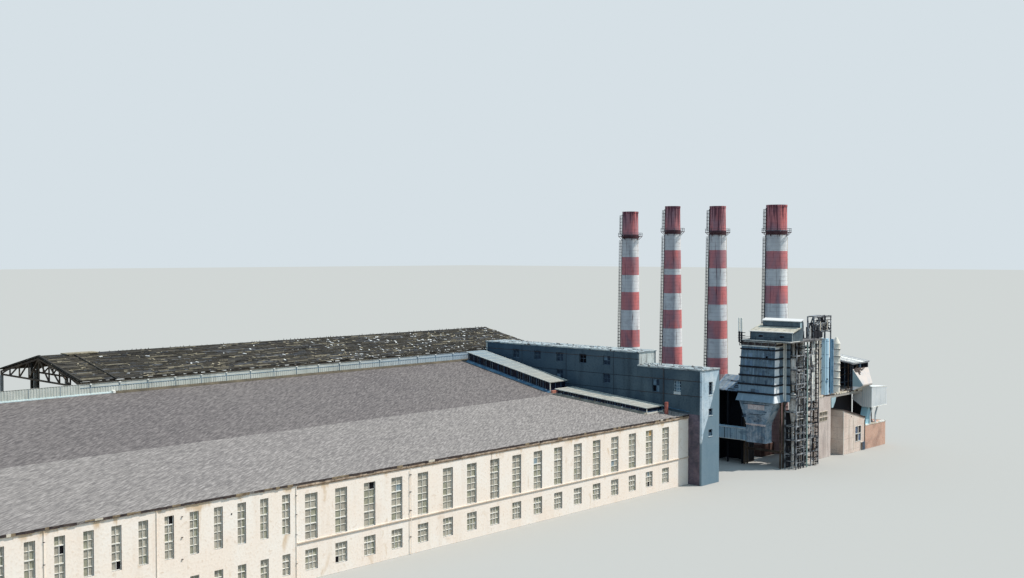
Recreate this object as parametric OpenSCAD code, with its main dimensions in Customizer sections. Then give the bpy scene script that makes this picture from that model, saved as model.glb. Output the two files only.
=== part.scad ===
// Foundry hall with roof lanterns, a ruined rear nave, a furnace block,
// four banded chimneys and a dust-collector tower, as a 1:10 scale model.
// Built in the site's own frame: X runs along the hall, Y goes back from the
// long window wall, Z is up from the ground.

/* [Hall plan] */
// Window bay of the main range
bay = 600; // [560:10:640]
// Number of window bays in the main range
main_bays = 17; // [14:1:18]
// Seam to the centre of the first main window
main_first = 282; // [240:2:330]
// Centre of the last main window to the furnace block
main_last = 870; // [700:10:1000]
// Window bay of the older ranges
old_bay = 405; // [380:5:440]
// Number of window bays in the middle range
mid_bays = 10; // [8:1:12]
// Number of window bays in the left range
left_bays = 4; // [2:1:6]
// Depth of the hall from the window wall to the rear wall
hall_depth = 6396; // [6000:12:6800]
// Thickness of the outer walls
wall_t = 50; // [40:2:60]
// Thickness of the ground floor
floor_t = 30; // [20:2:40]

/* [Hall roof] */
// Height of the roof surface at the window wall
eave_h = 1578; // [1540:2:1640]
// Depth at which the roof gets steeper
break_depth = 3240; // [3000:20:3500]
// Rise of the flat slope
low_rise = 260; // [200:10:300]
// Rise of the steep slope
high_rise = 634; // [560:2:700]
// Thickness of the roof slabs
roof_t = 36; // [24:2:44]
// Distance between the roof frames
frame_pitch = 1800; // [1600:50:2000]
// Width of the columns and roof beams
post_w = 60; // [50:2:80]
// Depth of the roof beams
beam_h = 110; // [90:5:130]

/* [Hall windows and trim] */
// Width of the main windows
main_win_w = 246; // [210:2:280]
// Height of the main windows
main_win_h = 740; // [680:5:760]
// Sill height of the main windows
main_sill = 640; // [632:2:680]
// Width of the old windows
old_win_w = 150; // [120:2:180]
// Height of the old windows
old_win_h = 630; // [560:5:640]
// Sill height of the old windows
old_sill = 798; // [760:2:820]
// Height of the ground floor windows
low_win_h = 335; // [280:5:350]
// Sill height of the ground floor windows
low_sill = 150; // [120:2:180]
// Distance of the sashes behind the wall face
sash_back = 13; // [10:1:32]
// Thickness of the sashes
sash_t = 10; // [6:1:14]
// Height of the belt course
belt_h = 30; // [20:1:36]
// Height of the belt course above the ground
belt_z = 600; // [570:2:600]
// How far the belt course stands out
belt_out = 16; // [10:1:24]
// Height of the dark cornice
cornice_h = 50; // [40:1:60]
// How far the cornice stands out
cornice_out = 20; // [16:1:44]
// Thickness of the upper floor
slab_t = 30; // [20:1:40]
// Depth of the upper floor behind the window wall
upper_floor_depth = 1620; // [1400:20:1700]
// Width of the downpipes
pipe_d = 14; // [10:1:18]

/* [Gateway] */
// Width of the gateway in the left gable
gate_w = 480; // [400:10:560]
// Height of the gateway
gate_h = 540; // [460:10:600]

/* [Parapet] */
// Height of the parapet above the roof
parapet_h = 204; // [180:4:230]
// Thickness of the parapet
parapet_t = 16; // [12:1:24]
// Height of the flashing at the parapet's foot
flash_h = 30; // [20:1:40]
// Distance between the parapet posts
parapet_pitch = 600; // [500:10:700]

/* [Roof lanterns] */
// Distance from the lanterns to the block
lantern_gap = 260; // [200:10:300]
// Width of the lanterns
lantern_w = 600; // [560:10:640]
// Start of the front lantern from the window wall
front_lantern_y = 528; // [480:4:560]
// End of the front lantern
front_lantern_end = 3200; // [3000:20:3220]
// Height of the front lantern
front_lantern_h = 128; // [110:2:150]
// Start of the rear lantern
rear_lantern_y = 3400; // [3300:10:3450]
// End of the rear lantern
rear_lantern_end = 6210; // [5900:10:6230]
// Height of the rear lantern
rear_lantern_h = 240; // [190:2:256]
// Height of the lantern curbs
curb_h = 56; // [30:2:64]
// Distance between the lantern posts
lantern_pitch = 222; // [200:2:260]
// Thickness of the lantern posts
lantern_post = 14; // [10:1:18]
// Thickness of the lantern roofs
lantern_roof_t = 16; // [12:1:24]
// Overhang of the lantern roofs
lantern_eave = 26; // [18:1:34]

/* [Rear nave] */
// Width of the ruined rear nave
nave_w = 3660; // [3500:20:3800]
// Position of its open gable from the left end of the hall
nave_start = 5280; // [5000:20:5600]
// Distance between its roof trusses
truss_pitch = 720; // [680:10:760]
// Number of roof trusses
truss_count = 19; // [15:1:19]
// Height of its eaves
nave_eave = 2676; // [2640:4:2720]
// Rise of its roof
nave_rise = 380; // [340:5:420]
// Depth of the trusses below the rafters at the eaves
heel_h = 60; // [50:2:80]
// Thickness of the truss bars
chord_w = 34; // [26:1:40]
// Width of the trusses along the nave
truss_t = 26; // [20:1:34]
// Number of purlins on each slope
purlin_rows = 12; // [6:1:13]
// Thickness of the purlins
purlin_w = 26; // [20:1:32]

/* [Furnace block] */
// Width of the furnace block
block_w = 700; // [640:10:760]
// How far it stands forward of the window wall
block_forward = 360; // [320:5:400]
// Length of its low end
low_end_l = 1782; // [1700:10:1900]
// Height of its low end
low_end_h = 2604; // [2560:4:2660]
// Height of its high part
block_h = 2913; // [2860:3:2960]
// Pitch of the high windows
block_pitch = 742; // [700:2:780]
// Size of the high windows
block_win = 222; // [190:2:240]
// Centre height of the top window row
row_1_z = 2652; // [2640:2:2670]
// Centre height of the second window row
row_2_z = 2220; // [2200:2:2240]
// Centre height of the third window row
row_3_z = 1710; // [1700:2:1730]
// Centre height of the fourth window row
row_4_z = 1240; // [1220:2:1260]
// Thickness of the block roofs
block_roof_t = 30; // [24:1:36]
// How far the block roofs stand out
block_eave = 14; // [8:1:20]

/* [Chimneys] */
// Distance of the chimney row from the block
chimney_x = 4430; // [4300:10:4500]
// Position of the rearmost chimney behind the window wall
chimney_y = 5574; // [5500:2:5650]
// Distance between the first three chimneys
chimney_pitch = 1488; // [1400:4:1560]
// Distance between the last two chimneys
last_pitch = 1812; // [1700:4:1900]
// Thickness of the chimney walls
chimney_wall = 44; // [36:1:50]
// Height of the rim at the chimney mouths
rim_h = 60; // [40:5:80]
// How far the rim stands out
rim_out = 9; // [5:1:12]
// Width of the galleries
gallery_w = 115; // [90:5:125]
// Height of the gallery railings
rail_h = 105; // [90:5:120]
// Drop of the galleries below the chimney tops
gallery_drop = 670; // [600:10:720]
// Height of the ring under the galleries
ring_h = 110; // [90:5:120]
// Thickness of the ring
ring_t = 7; // [5:1:8]
// Thickness of the rails and floors
rail_t = 8; // [6:1:12]
// Distance of the ladders from the shaft
ladder_gap = 12; // [8:1:18]
// Width of the ladders
ladder_w = 50; // [40:2:60]
// Depth of the ladder cages
cage_d = 70; // [60:2:80]

/* [Tower] */
// Distance of the tower from the block
tower_x = 2030; // [1980:5:2080]
// How far the tower stands forward of the window wall
tower_forward = 582; // [560:2:610]
// Depth of the casing along the hall
casing_l = 480; // [440:5:500]
// Width of the casing
casing_w = 1030; // [920:5:1040]
// Height of the casing's underside
casing_z = 1620; // [1600:2:1640]
// Height of the casing
casing_h = 1350; // [1330:2:1390]
// How far the casing's far side leans in towards the top
casing_lean = 70; // [40:5:80]
// Number of stiffeners on the casing
rib_count = 6; // [4:1:6]
// Distance between the stiffeners
rib_pitch = 212; // [200:2:214]
// Height of the flared band at the casing's foot
skirt_h = 190; // [170:5:200]
// How far the band flares out
skirt_out = 26; // [16:1:30]
// Height of the hopper
hopper_h = 560; // [540:5:620]
// Size of the outlet box along the hall
outlet_l = 280; // [260:5:320]
// Width of the outlet box
outlet_w = 540; // [500:5:560]
// Height of the outlet box
outlet_h = 440; // [340:5:460]
// Thickness of the tower legs
leg_w = 32; // [26:1:44]
// Thickness of the deck
deck_t = 40; // [24:1:46]
// Gap between the casing and the deck
deck_gap = 100; // [60:2:110]
// Height of the lower penthouse at its front
pent_h = 205; // [190:5:240]
// Height of the upper penthouse at its front
top_pent_h = 140; // [120:4:200]
// Rise of the penthouse roofs over their depth
pent_rise = 134; // [110:4:150]
// Diameter of the cyclones
cyclone_d = 176; // [160:4:200]
// Length of the pipe rack
rack_l = 1100; // [1060:5:1120]
// Width of the pipe rack
rack_w = 330; // [300:5:350]
// Thickness of the rack's posts and beams
rack_t = 26; // [20:1:30]

/* [Shafts and houses] */
// Length of the shaft house along the hall
shaft_house_l = 1230; // [1200:10:1260]
// Depth of the shaft house
shaft_house_w = 480; // [440:10:500]
// Height of the shaft house
shaft_house_h = 1590; // [1560:5:1610]
// Diameter of the shafts
shaft_w = 196; // [180:2:210]
// Height of the shafts
shaft_h = 1440; // [1400:5:1460]
// Distance between the shafts
shaft_pitch = 600; // [580:5:620]
// Length of the charging platform
plat_l = 2070; // [2000:10:2120]
// Length of the charging shed
shed_l = 884; // [860:4:900]
// Height of the charging shed at its front
shed_h = 700; // [680:5:720]
// Rise of the shed roof towards the back
shed_rise = 128; // [100:4:150]
// Gap between the shaft house and the annex
annex_gap = 370; // [340:5:390]
// Length of the annex
annex_l = 1200; // [1140:10:1260]
// Depth of the annex
annex_w = 600; // [560:10:630]
// Height of the annex at its high end
annex_h = 1144; // [1110:2:1160]
// Fall of the annex roof towards the brick house
annex_fall = 300; // [270:5:320]
// Width of the annex window
annex_win_w = 330; // [300:5:350]
// Height of the annex window
annex_win_h = 410; // [380:5:430]
// Wall thickness of the annex
annex_t = 30; // [24:1:36]
// Width of the annex door
door_w = 120; // [100:5:140]
// Height of the annex door
door_h = 210; // [190:5:230]
// Length of the brick house
brick_l = 1210; // [1180:10:1240]
// Height of the brick house
brick_h = 640; // [620:5:680]
// Length of the loading hood
hood_l = 890; // [850:5:920]
// Width of the loading hood
hood_w = 555; // [530:5:570]
// Height of the loading hood
hood_h = 560; // [540:5:580]
// Height of the hood's underside
hood_z = 1110; // [1090:5:1130]

/* [Hidden] */
$fn = 48;

// Hall lengths and the positions of the seams
left_l = left_bays * old_bay;
mid_l = mid_bays * old_bay;
main_l = main_first + (main_bays - 1) * bay + main_last;
seam_1 = left_l;
seam_2 = left_l + mid_l;
hall_l = seam_2 + main_l;
wall_h = eave_h - roof_t;
break_z = eave_h + low_rise;
top_z = break_z + high_rise;
low_slope = low_rise / break_depth;
high_slope = high_rise / (hall_depth - break_depth);
parapet_x = hall_l - lantern_gap - lantern_w;

// Centres of the windows of each range
main_xs = [for (i = [0:main_bays - 1]) seam_2 + main_first + i * bay];
mid_xs = [for (i = [0:mid_bays - 1]) seam_1 + (i + 0.5) * old_bay];
left_xs = [for (i = [0:left_bays - 1]) (i + 0.5) * old_bay];
old_xs = concat(left_xs, mid_xs);

// Block, chimney and tower places
block_x = hall_l;
block_back = hall_depth;
step_y = low_end_l - block_forward;
high_l = block_back - step_y;
high_count = 5;
low_count = 2;
first_high = 930;
first_low = 306;
high_ys = [for (i = [0:high_count - 1]) step_y + first_high + i * block_pitch];
low_ys = [for (i = [0:low_count - 1]) first_low + i * bay];
low_row_z = row_2_z - 200;
yard_x = block_x + block_w;
row_x = yard_x + chimney_x;
stack_ys = [chimney_y, chimney_y - chimney_pitch, chimney_y - 2 * chimney_pitch,
            chimney_y - 2 * chimney_pitch - last_pitch];
stack_hs = [6426, 6540, 6500, 6480];
stack_r0 = [320, 324, 316, 343];
stack_r1 = [225, 207, 213, 264];
tow_x = yard_x + tower_x;
tow_y = -tower_forward;
deck_z = casing_z + casing_h + deck_gap;
rack_x = tow_x + casing_l;
house_x = rack_x + rack_l;
plat_x = house_x + shaft_house_l;
annex_x = plat_x + annex_gap;
brick_x = annex_x + annex_l;

// Roof surface at a depth behind the window wall
function roof_z(d) = d < break_depth
  ? eave_h + low_slope * d
  : break_z + high_slope * (d - break_depth);

// Radius of a chimney at a height
function stack_r(i, z) = stack_r0[i] + (stack_r1[i] - stack_r0[i]) * z / stack_hs[i];

// Values of the hall that follow from the sizes above
cut = 5;
seat_gap = 0.3;
beam_joint = 1;
sheet_t = 6;
rear_in = hall_depth - wall_t;
gate_y = break_depth - gate_w / 2;
frame_count = round(hall_l / frame_pitch);
frame_step = hall_l / frame_count;
column_ys = [upper_floor_depth, break_depth, (break_depth + hall_depth) / 2];
parapet_posts = round(hall_l / parapet_pitch);
old_pipe_xs = [seam_1 - pipe_d, mid_xs[3] + old_bay / 2, seam_2 - pipe_d];
main_pipe_x = main_xs[3] + bay / 2;
function lantern_bays(a, b) = round((b - a) / lantern_pitch);

// Values of the rear nave
panels = 4;
web_w = 22;
nave_l = (truss_count - 1) * truss_pitch + truss_t;
nave_angle = atan(nave_rise / (nave_w / 2));
purlin_start = 0.12;

// Values of the block
low_win = 200;
end_win = 150;
end_win_h = 294;
floor_drop = 240;

// Values of the chimneys and flues
sector_gap = 1.5;
hoop_count = 18;
top_hoops = 3;
ladder_angle = 133;
flue_w = 300;
flue_h = 300;
flue_gap = 800;
flue_x = row_x - flue_gap;

// Values of the tower
rib_out = 12;
rib_h = 22;
out_x = tow_x + leg_w;
out_y = tow_y + (casing_w - outlet_w) / 2;
out_z = casing_z - hopper_h - outlet_h;
leg_girt = 380;
deck_out = 24;
deck_over = 78;
front_lean = 54;
leg_in = leg_w + outlet_l + seat_gap;
riser_w = 158;
riser_t = 36;
deck_x = tow_x + front_lean - deck_out;
stub_count = 6;
pent_x = tow_x + 140;
pent_y = tow_y - rack_w - deck_over;
pent_z = deck_z + deck_t;
pent_l = 480;
pent_w = 1160;
pent_slope = pent_rise / pent_l;
pent_win_h = 60;
up_in = 350;
up_w = 1020;
roof_gap = 18;
rack_bays = 3;
rack_levels = 9;
rack_brace = 18;
duct_run = 1100;
duct_h = 280;
link_x = out_x + outlet_l + seat_gap;
link_y = tow_y + casing_w + skirt_out + rib_out;
link_l = 560;
link_w = 850;
link_z = 1800;
link_rise = 320;

// Values of the shafts and houses
house_y = tow_y;
slab_h = 90;
slit_x = house_x + 650;
slit_z = 950;
slit_w = 110;
slit_h = 90;
slit_pitch = 140;
shaft_xs = [for (i = [0:2]) house_x + 513 + i * shaft_pitch];
shaft_y = house_y + shaft_w / 2 + 12;
head_h = 160;
ring_pitch = 190;
ring_rows = 7;
frame_h = 1640;
top_rail = 400;
stand_l = 720;
stand_w = 200;
stand_x = house_x + 330;
plat_w = 882;
shed_x = plat_x + plat_l - shed_l;
back_y = house_y + plat_w;
wall_y = house_y + 470;
annex_y = tow_y - 168;
door_x = annex_x + annex_l - door_w - 130;
annex_win_x = annex_x + 650;
annex_win_z = 270;
hood_x = brick_x + 168;
hood_y = annex_y - 100;
hood_fall = 60;
chute_reach = 288;
chute_low = 145;
chute_high = 560;
spout_l = 350;

// Depth behind the window wall to the underside of the roof slab
function under_z(d) = roof_z(d) - roof_t;

// Places the local frame, which starts at the hall's front left corner
module site() translate([-hall_l / 2, -hall_depth / 2, 0]) children();

// Extrudes an outline drawn in Y and Z along X
module along_x(x, l) translate([x, 0, 0]) rotate([90, 0, 90]) linear_extrude(l) children();

// Extrudes an outline drawn in X and Z along Y
module along_y(y, w) translate([0, y + w, 0]) rotate([90, 0, 0]) linear_extrude(w) children();

// Rectangle of the given size from its lower left corner
module rect(x, z, w, h) translate([x, z]) square([w, h]);

// Bar of an outline between two of its points
module bar(a, b, w) {
  d = b - a;
  translate(a) rotate(atan2(d[1], d[0])) translate([0, -w / 2]) square([norm(d), w]);
}

// Strip that follows the roof from depth a to depth b, from z offset lo to hi
module roof_strip(a, b, lo, hi)
  polygon([[a, roof_z(a) + lo], [b, roof_z(b) + lo], [b, roof_z(b) + hi], [a, roof_z(a) + hi]]);

// Window wall of one range, with its upper and lower windows cut through
module range_wall(x, l, xs, win_w, sill, win_h) difference() {
  along_x(x, l) polygon([[0, 0], [wall_t, 0], [wall_t, under_z(wall_t)], [0, under_z(0)]]);
  along_y(-cut, wall_t + 2 * cut) for (c = xs) {
    rect(c - win_w / 2, sill, win_w, win_h);
    rect(c - win_w / 2, low_sill, win_w, low_win_h);
  }
}

// Sash sheets of a row of windows in a wall along X
module sash_row(xs, y, w, sill, h) for (c = xs) along_y(y, sash_t) rect(c - w / 2, sill, w, h);

// Sash sheets of a row of windows in a wall along Y
module side_sashes(ys, x, w, sill, h) for (c = ys) along_x(x, sash_t) rect(c - w / 2, sill, w, h);

module hall_floor() color("gray") site()
  along_x(wall_t, hall_l - wall_t) rect(wall_t, 0, hall_depth - 2 * wall_t, floor_t);

module hall_upper_floor() color("darkgray") site()
  along_x(wall_t, hall_l - wall_t) rect(wall_t, belt_z, upper_floor_depth - post_w / 2 - wall_t, slab_t);

module hall_front_wall_left() color("bisque") site()
  range_wall(0, left_l, left_xs, old_win_w, old_sill, old_win_h);

module hall_front_wall_middle() color("bisque") site()
  range_wall(seam_1, mid_l, mid_xs, old_win_w, old_sill, old_win_h);

module hall_front_wall_main() color("bisque") site()
  range_wall(seam_2, main_l, main_xs, main_win_w, main_sill, main_win_h);

// The cornice closes the eave of the main range
module hall_cornice() color("dimgray") site() along_x(seam_2, main_l)
  polygon([[0, under_z(0) - cornice_h], [-cornice_out / 2, under_z(0) - cornice_h],
           [-cornice_out, under_z(-cornice_out) - cornice_h / 2],
           [-cornice_out, under_z(-cornice_out)], [0, under_z(0)]]);

module hall_belt_course() color("wheat") site() along_x(seam_2, main_l)
  polygon([[0, belt_z], [-belt_out, belt_z + belt_h / 3], [-belt_out, belt_z + belt_h], [0, belt_z + belt_h]]);

module hall_gable_front() color("bisque") site() along_x(0, wall_t)
  polygon([[wall_t, 0], [gate_y, 0], [gate_y, under_z(gate_y)], [wall_t, under_z(wall_t)]]);

module hall_gable_rear() color("bisque") site() along_x(0, wall_t)
  polygon([[gate_y + gate_w, 0], [rear_in, 0], [rear_in, under_z(rear_in)],
           [gate_y + gate_w, under_z(gate_y + gate_w)]]);

module hall_gable_head() color("bisque") site() along_x(0, wall_t)
  polygon([[gate_y, gate_h], [gate_y + gate_w, gate_h], [gate_y + gate_w, under_z(gate_y + gate_w)],
           [break_depth, under_z(break_depth)], [gate_y, under_z(gate_y)]]);

module hall_rear_wall() color("tan") site() along_x(0, hall_l)
  polygon([[rear_in, 0], [hall_depth, 0], [hall_depth, under_z(hall_depth)], [rear_in, under_z(rear_in)]]);

module hall_roof_lower() color("silver") site() {
  along_x(0, seam_2) roof_strip(-belt_out, break_depth, -roof_t, 0);
  along_x(seam_2, main_l) roof_strip(-cornice_out, break_depth, -roof_t, 0);
}

module hall_roof_upper() color("gray") site()
  along_x(0, hall_l) roof_strip(break_depth, hall_depth, -roof_t, 0);

module hall_columns() color("darkgray") site()
  for (i = [1:frame_count - 1], y = column_ys) along_x(i * frame_step - post_w / 2, post_w)
    polygon([[y - post_w / 2, floor_t], [y + post_w / 2, floor_t],
             [y + post_w / 2, under_z(y + post_w / 2) - beam_h], [y, under_z(y) - beam_h],
             [y - post_w / 2, under_z(y - post_w / 2) - beam_h]]);

module hall_roof_beams() color("darkgray") site()
  for (i = [1:frame_count - 1]) along_x(i * frame_step - post_w / 2, post_w) {
    roof_strip(wall_t, break_depth - beam_joint, -roof_t - beam_h, -roof_t);
    roof_strip(break_depth + beam_joint, rear_in, -roof_t - beam_h, -roof_t);
  }

module hall_upper_windows() color("lightsteelblue") site() {
  sash_row(main_xs, sash_back, main_win_w, main_sill, main_win_h);
  sash_row(old_xs, sash_back, old_win_w, old_sill, old_win_h);
}

module hall_lower_windows() color("lightsteelblue") site() {
  sash_row(main_xs, sash_back, main_win_w, low_sill, low_win_h);
  sash_row(old_xs, sash_back, old_win_w, low_sill, low_win_h);
}

// Downpipes run down the walls of the old ranges and past the belt of the main one
module downpipes() color("tan") site() {
  for (x = old_pipe_xs) translate([x, -pipe_d / 2, 0]) cylinder(h = under_z(-pipe_d), d = pipe_d);
  translate([main_pipe_x, -belt_out - pipe_d / 2, 0]) cylinder(h = under_z(0) - cornice_h, d = pipe_d);
}

module parapet() color("lightgray") site() {
  along_x(0, hall_l) {
    rect(hall_depth - parapet_t, top_z, parapet_t, parapet_h);
    roof_strip(hall_depth - parapet_t - flash_h, hall_depth - parapet_t, 0, flash_h / 2);
  }
  for (i = [0:parapet_posts]) along_x(i * (hall_l - parapet_t) / parapet_posts, parapet_t)
    rect(hall_depth - parapet_t - flash_h / 3, top_z, flash_h / 3, parapet_h);
}

// Side frame of a lantern: curb, posts and head following the roof's slope
module lantern_side(a, b, h) difference() {
  roof_strip(a, b, 0, h);
  for (i = [0:lantern_bays(a, b) - 1])
    let (p = (b - a - lantern_post) / lantern_bays(a, b), y = a + lantern_post + i * p)
      roof_strip(y, y + p - lantern_post, curb_h, h - lantern_post);
}

module lantern_frame(a, b, h) {
  along_x(parapet_x, lantern_post) lantern_side(a, b, h);
  along_x(parapet_x + lantern_w - lantern_post, lantern_post) lantern_side(a, b, h);
  for (y = [a, b - lantern_post]) along_x(parapet_x, lantern_w) {
    roof_strip(y, y + lantern_post, 0, curb_h);
    roof_strip(y, y + lantern_post, h - lantern_post, h);
  }
  for (y = [a, b - lantern_post], x = [lantern_w / 3, 2 * lantern_w / 3])
    along_x(parapet_x + x, lantern_post) roof_strip(y, y + lantern_post, 0, h);
}

module lantern_glass(a, b, h) {
  for (x = [parapet_x + lantern_post, parapet_x + lantern_w - lantern_post - sheet_t])
    along_x(x, sheet_t) roof_strip(a + lantern_post + sheet_t, b - lantern_post - sheet_t, curb_h / 2, h);
  for (y = [a + lantern_post, b - lantern_post - sheet_t])
    along_x(parapet_x + lantern_post + 2 * sheet_t, lantern_w - 2 * lantern_post - 4 * sheet_t)
      roof_strip(y, y + sheet_t, curb_h / 2, h);
}

module lantern_roof(a, b, h)
  along_x(parapet_x - lantern_eave, lantern_w + 2 * lantern_eave)
    roof_strip(a - lantern_eave, b + lantern_eave, h, h + lantern_roof_t);

module front_lantern_frame() color("slategray") site()
  lantern_frame(front_lantern_y, front_lantern_end, front_lantern_h);

module front_lantern_glass() color("midnightblue") site()
  lantern_glass(front_lantern_y, front_lantern_end, front_lantern_h);

module front_lantern_roof() color("lightgray") site()
  lantern_roof(front_lantern_y, front_lantern_end, front_lantern_h);

module rear_lantern_frame() color("slategray") site()
  lantern_frame(rear_lantern_y, rear_lantern_end, rear_lantern_h);

module rear_lantern_glass() color("midnightblue") site()
  lantern_glass(rear_lantern_y, rear_lantern_end, rear_lantern_h);

module rear_lantern_roof() color("lightgray") site()
  lantern_roof(rear_lantern_y, rear_lantern_end, rear_lantern_h);

// Outline of a roof truss of the rear nave, in Y and Z
module truss() {
  heel = nave_eave - heel_h;
  w = nave_w / 2;
  bar([hall_depth, heel], [hall_depth + nave_w, heel], chord_w);
  for (s = [-1, 1]) translate([hall_depth + w, 0]) scale([s, 1]) {
    bar([0, nave_eave + nave_rise], [w, nave_eave], chord_w);
    bar([w - chord_w / 2, heel - chord_w / 2], [w - chord_w / 2, nave_eave], chord_w);
    for (i = [0:panels - 1]) {
      bar([i * w / panels, heel], [i * w / panels, nave_eave + nave_rise * (1 - i / panels)], web_w);
      bar([(i + 1) * w / panels, heel], [i * w / panels, nave_eave + nave_rise * (1 - i / panels)], web_w);
    }
  }
}

module nave_trusses() color("saddlebrown") site()
  for (i = [0:truss_count - 1]) along_x(nave_start + i * truss_pitch, truss_t) truss();

// Purlins lie on the rafters, and eave beams tie the column heads
module nave_purlins() color("sienna") site() along_x(nave_start, nave_l) {
  for (s = [-1, 1], i = [0:purlin_rows - 1])
    let (t = (i + purlin_start) / purlin_rows)
      translate([hall_depth + nave_w / 2 + s * t * nave_w / 2, nave_eave + nave_rise * (1 - t)])
        rotate(-s * nave_angle) translate([-purlin_w / 2, chord_w / 2]) square(purlin_w);
}

module nave_columns() color("dimgray") site()
  for (i = [0:truss_count - 1], y = [hall_depth, hall_depth + nave_w - post_w])
    along_x(nave_start + i * truss_pitch - (post_w - truss_t) / 2, post_w)
      rect(y, 0, post_w, nave_eave - heel_h - chord_w / 2);

// Profile of the block's long walls, in Y and Z
module block_profile() {
  rect(wall_t - block_forward, 0, block_back - 2 * wall_t + block_forward, low_end_h - block_roof_t);
  rect(step_y, 0, high_l - wall_t, block_h - block_roof_t);
}

module block_hall_wall() color("slategray") site() along_x(block_x, wall_t) difference() {
  block_profile();
  for (y = high_ys) rect(y - block_win / 2, row_1_z - block_win / 2, block_win, block_win);
  for (i = [0, 2]) rect(high_ys[i] - block_win / 2, row_2_z - block_win / 2, block_win, block_win);
  for (y = low_ys) rect(y - low_win / 2, low_row_z, low_win, end_win_h);
}

module block_front_wall() color("lightgray") site() along_y(-block_forward, wall_t) difference() {
  rect(block_x, 0, block_w, low_end_h - block_roof_t);
  for (z = [low_row_z, row_3_z - end_win, row_4_z - end_win])
    rect(block_x + (block_w - end_win) / 2, z, end_win, z > row_3_z ? end_win_h : end_win);
}

module block_yard_wall() color("slategray") site() along_x(block_x + block_w - wall_t, wall_t) difference() {
  block_profile();
  for (y = high_ys, z = [row_1_z, row_2_z, row_3_z, row_4_z])
    rect(y - block_win / 2, z - block_win / 2, block_win, block_win);
  for (y = low_ys, z = [row_2_z, row_3_z])
    rect(y - low_win / 2, z - block_win / 2, low_win, block_win);
}

module block_cross_walls() color("slategray") site() {
  along_y(block_back - wall_t, wall_t) rect(block_x, 0, block_w, block_h - block_roof_t);
  along_y(step_y, wall_t)
    rect(block_x + wall_t, low_end_h - block_roof_t, block_w - 2 * wall_t, block_h - low_end_h);
}

module block_roofs() color("lightgray") site() {
  along_x(block_x - block_eave, block_w + 2 * block_eave) {
    rect(-block_forward - block_eave, low_end_h - block_roof_t, low_end_l + block_eave, block_roof_t);
    rect(step_y - block_eave, block_h - block_roof_t, high_l + 2 * block_eave, block_roof_t);
  }
}

module block_floors() color("gray") site() along_x(block_x + wall_t, block_w - 2 * wall_t) {
  for (z = [0, row_4_z - floor_drop, row_3_z - floor_drop, row_2_z - floor_drop])
    rect(wall_t - block_forward, z, block_back + block_forward - 2 * wall_t, slab_t);
  rect(step_y + wall_t, row_1_z - floor_drop, high_l - 2 * wall_t, slab_t);
}

module block_windows() color("steelblue") site() {
  side_sashes(high_ys, block_x + sash_back, block_win, row_1_z - block_win / 2, block_win);
  side_sashes([high_ys[0], high_ys[2]], block_x + sash_back, block_win, row_2_z - block_win / 2, block_win);
  side_sashes(low_ys, block_x + sash_back, low_win, low_row_z, end_win_h);
  for (z = [row_1_z, row_2_z, row_3_z, row_4_z])
    side_sashes(high_ys, yard_x - sash_back - sash_t, block_win, z - block_win / 2, block_win);
  for (z = [row_2_z, row_3_z])
    side_sashes(low_ys, yard_x - sash_back - sash_t, low_win, z - block_win / 2, block_win);
  for (z = [low_row_z, row_3_z - end_win, row_4_z - end_win])
    sash_row([block_x + block_w / 2], -block_forward + sash_back, end_win, z,
             z > row_3_z ? end_win_h : end_win);
}

// Tapered shell of one chimney with a thicker rim at its mouth
module chimney(i) site() translate([row_x, stack_ys[i], 0]) rotate_extrude()
  polygon([[stack_r0[i] - chimney_wall, 0], [stack_r0[i], 0], [stack_r(i, stack_hs[i] - rim_h), stack_hs[i] - rim_h],
           [stack_r1[i] + rim_out, stack_hs[i] - rim_h + rim_out], [stack_r1[i] + rim_out, stack_hs[i]],
           [stack_r1[i] - chimney_wall, stack_hs[i]]]);

module chimney_1() color("indianred") chimney(0);

module chimney_2() color("indianred") chimney(1);

module chimney_3() color("indianred") chimney(2);

module chimney_4() color("indianred") chimney(3);

// One eighth of a gallery: ring, floor, bracket, posts and two rails
module gallery_sector(i) {
  r = stack_r(i, stack_hs[i] - gallery_drop);
  foot = stack_r(i, stack_hs[i] - gallery_drop - ring_h);
  gap = asin(sector_gap / r);
  rotate([0, 0, gap / 2]) rotate_extrude(angle = 45 - gap) {
    polygon([[r, 0], [foot, -ring_h], [foot + ring_t, -ring_h], [r + ring_t, 0]]);
    rect(r, 0, gallery_w, rail_t);
    for (z = [rail_h / 2, rail_h - rail_t]) rect(r + gallery_w - rail_t, z, rail_t, rail_t);
  }
  for (a = [gap, 45 - gap]) rotate([0, 0, a])
    translate([r + gallery_w - rail_t, a > gap ? -rail_t : 0, 0]) cube([rail_t, rail_t, rail_h - rail_t / 2]);
  rotate([0, 0, 45 / 2]) translate([0, rail_t / 2, 0]) rotate([90, 0, 0]) linear_extrude(rail_t)
    polygon([[foot, -ring_h + ring_t], [foot + ring_t, -ring_h + ring_t], [r + gallery_w - ring_t, 0],
             [r + gallery_w - ring_t, rail_t / 2], [r, rail_t / 2]]);
}

module chimney_galleries() color("dimgray") site() for (i = [0:3])
  translate([row_x, stack_ys[i], stack_hs[i] - gallery_drop]) for (k = [0:7])
    rotate([0, 0, 45 * k]) gallery_sector(i);

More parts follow.
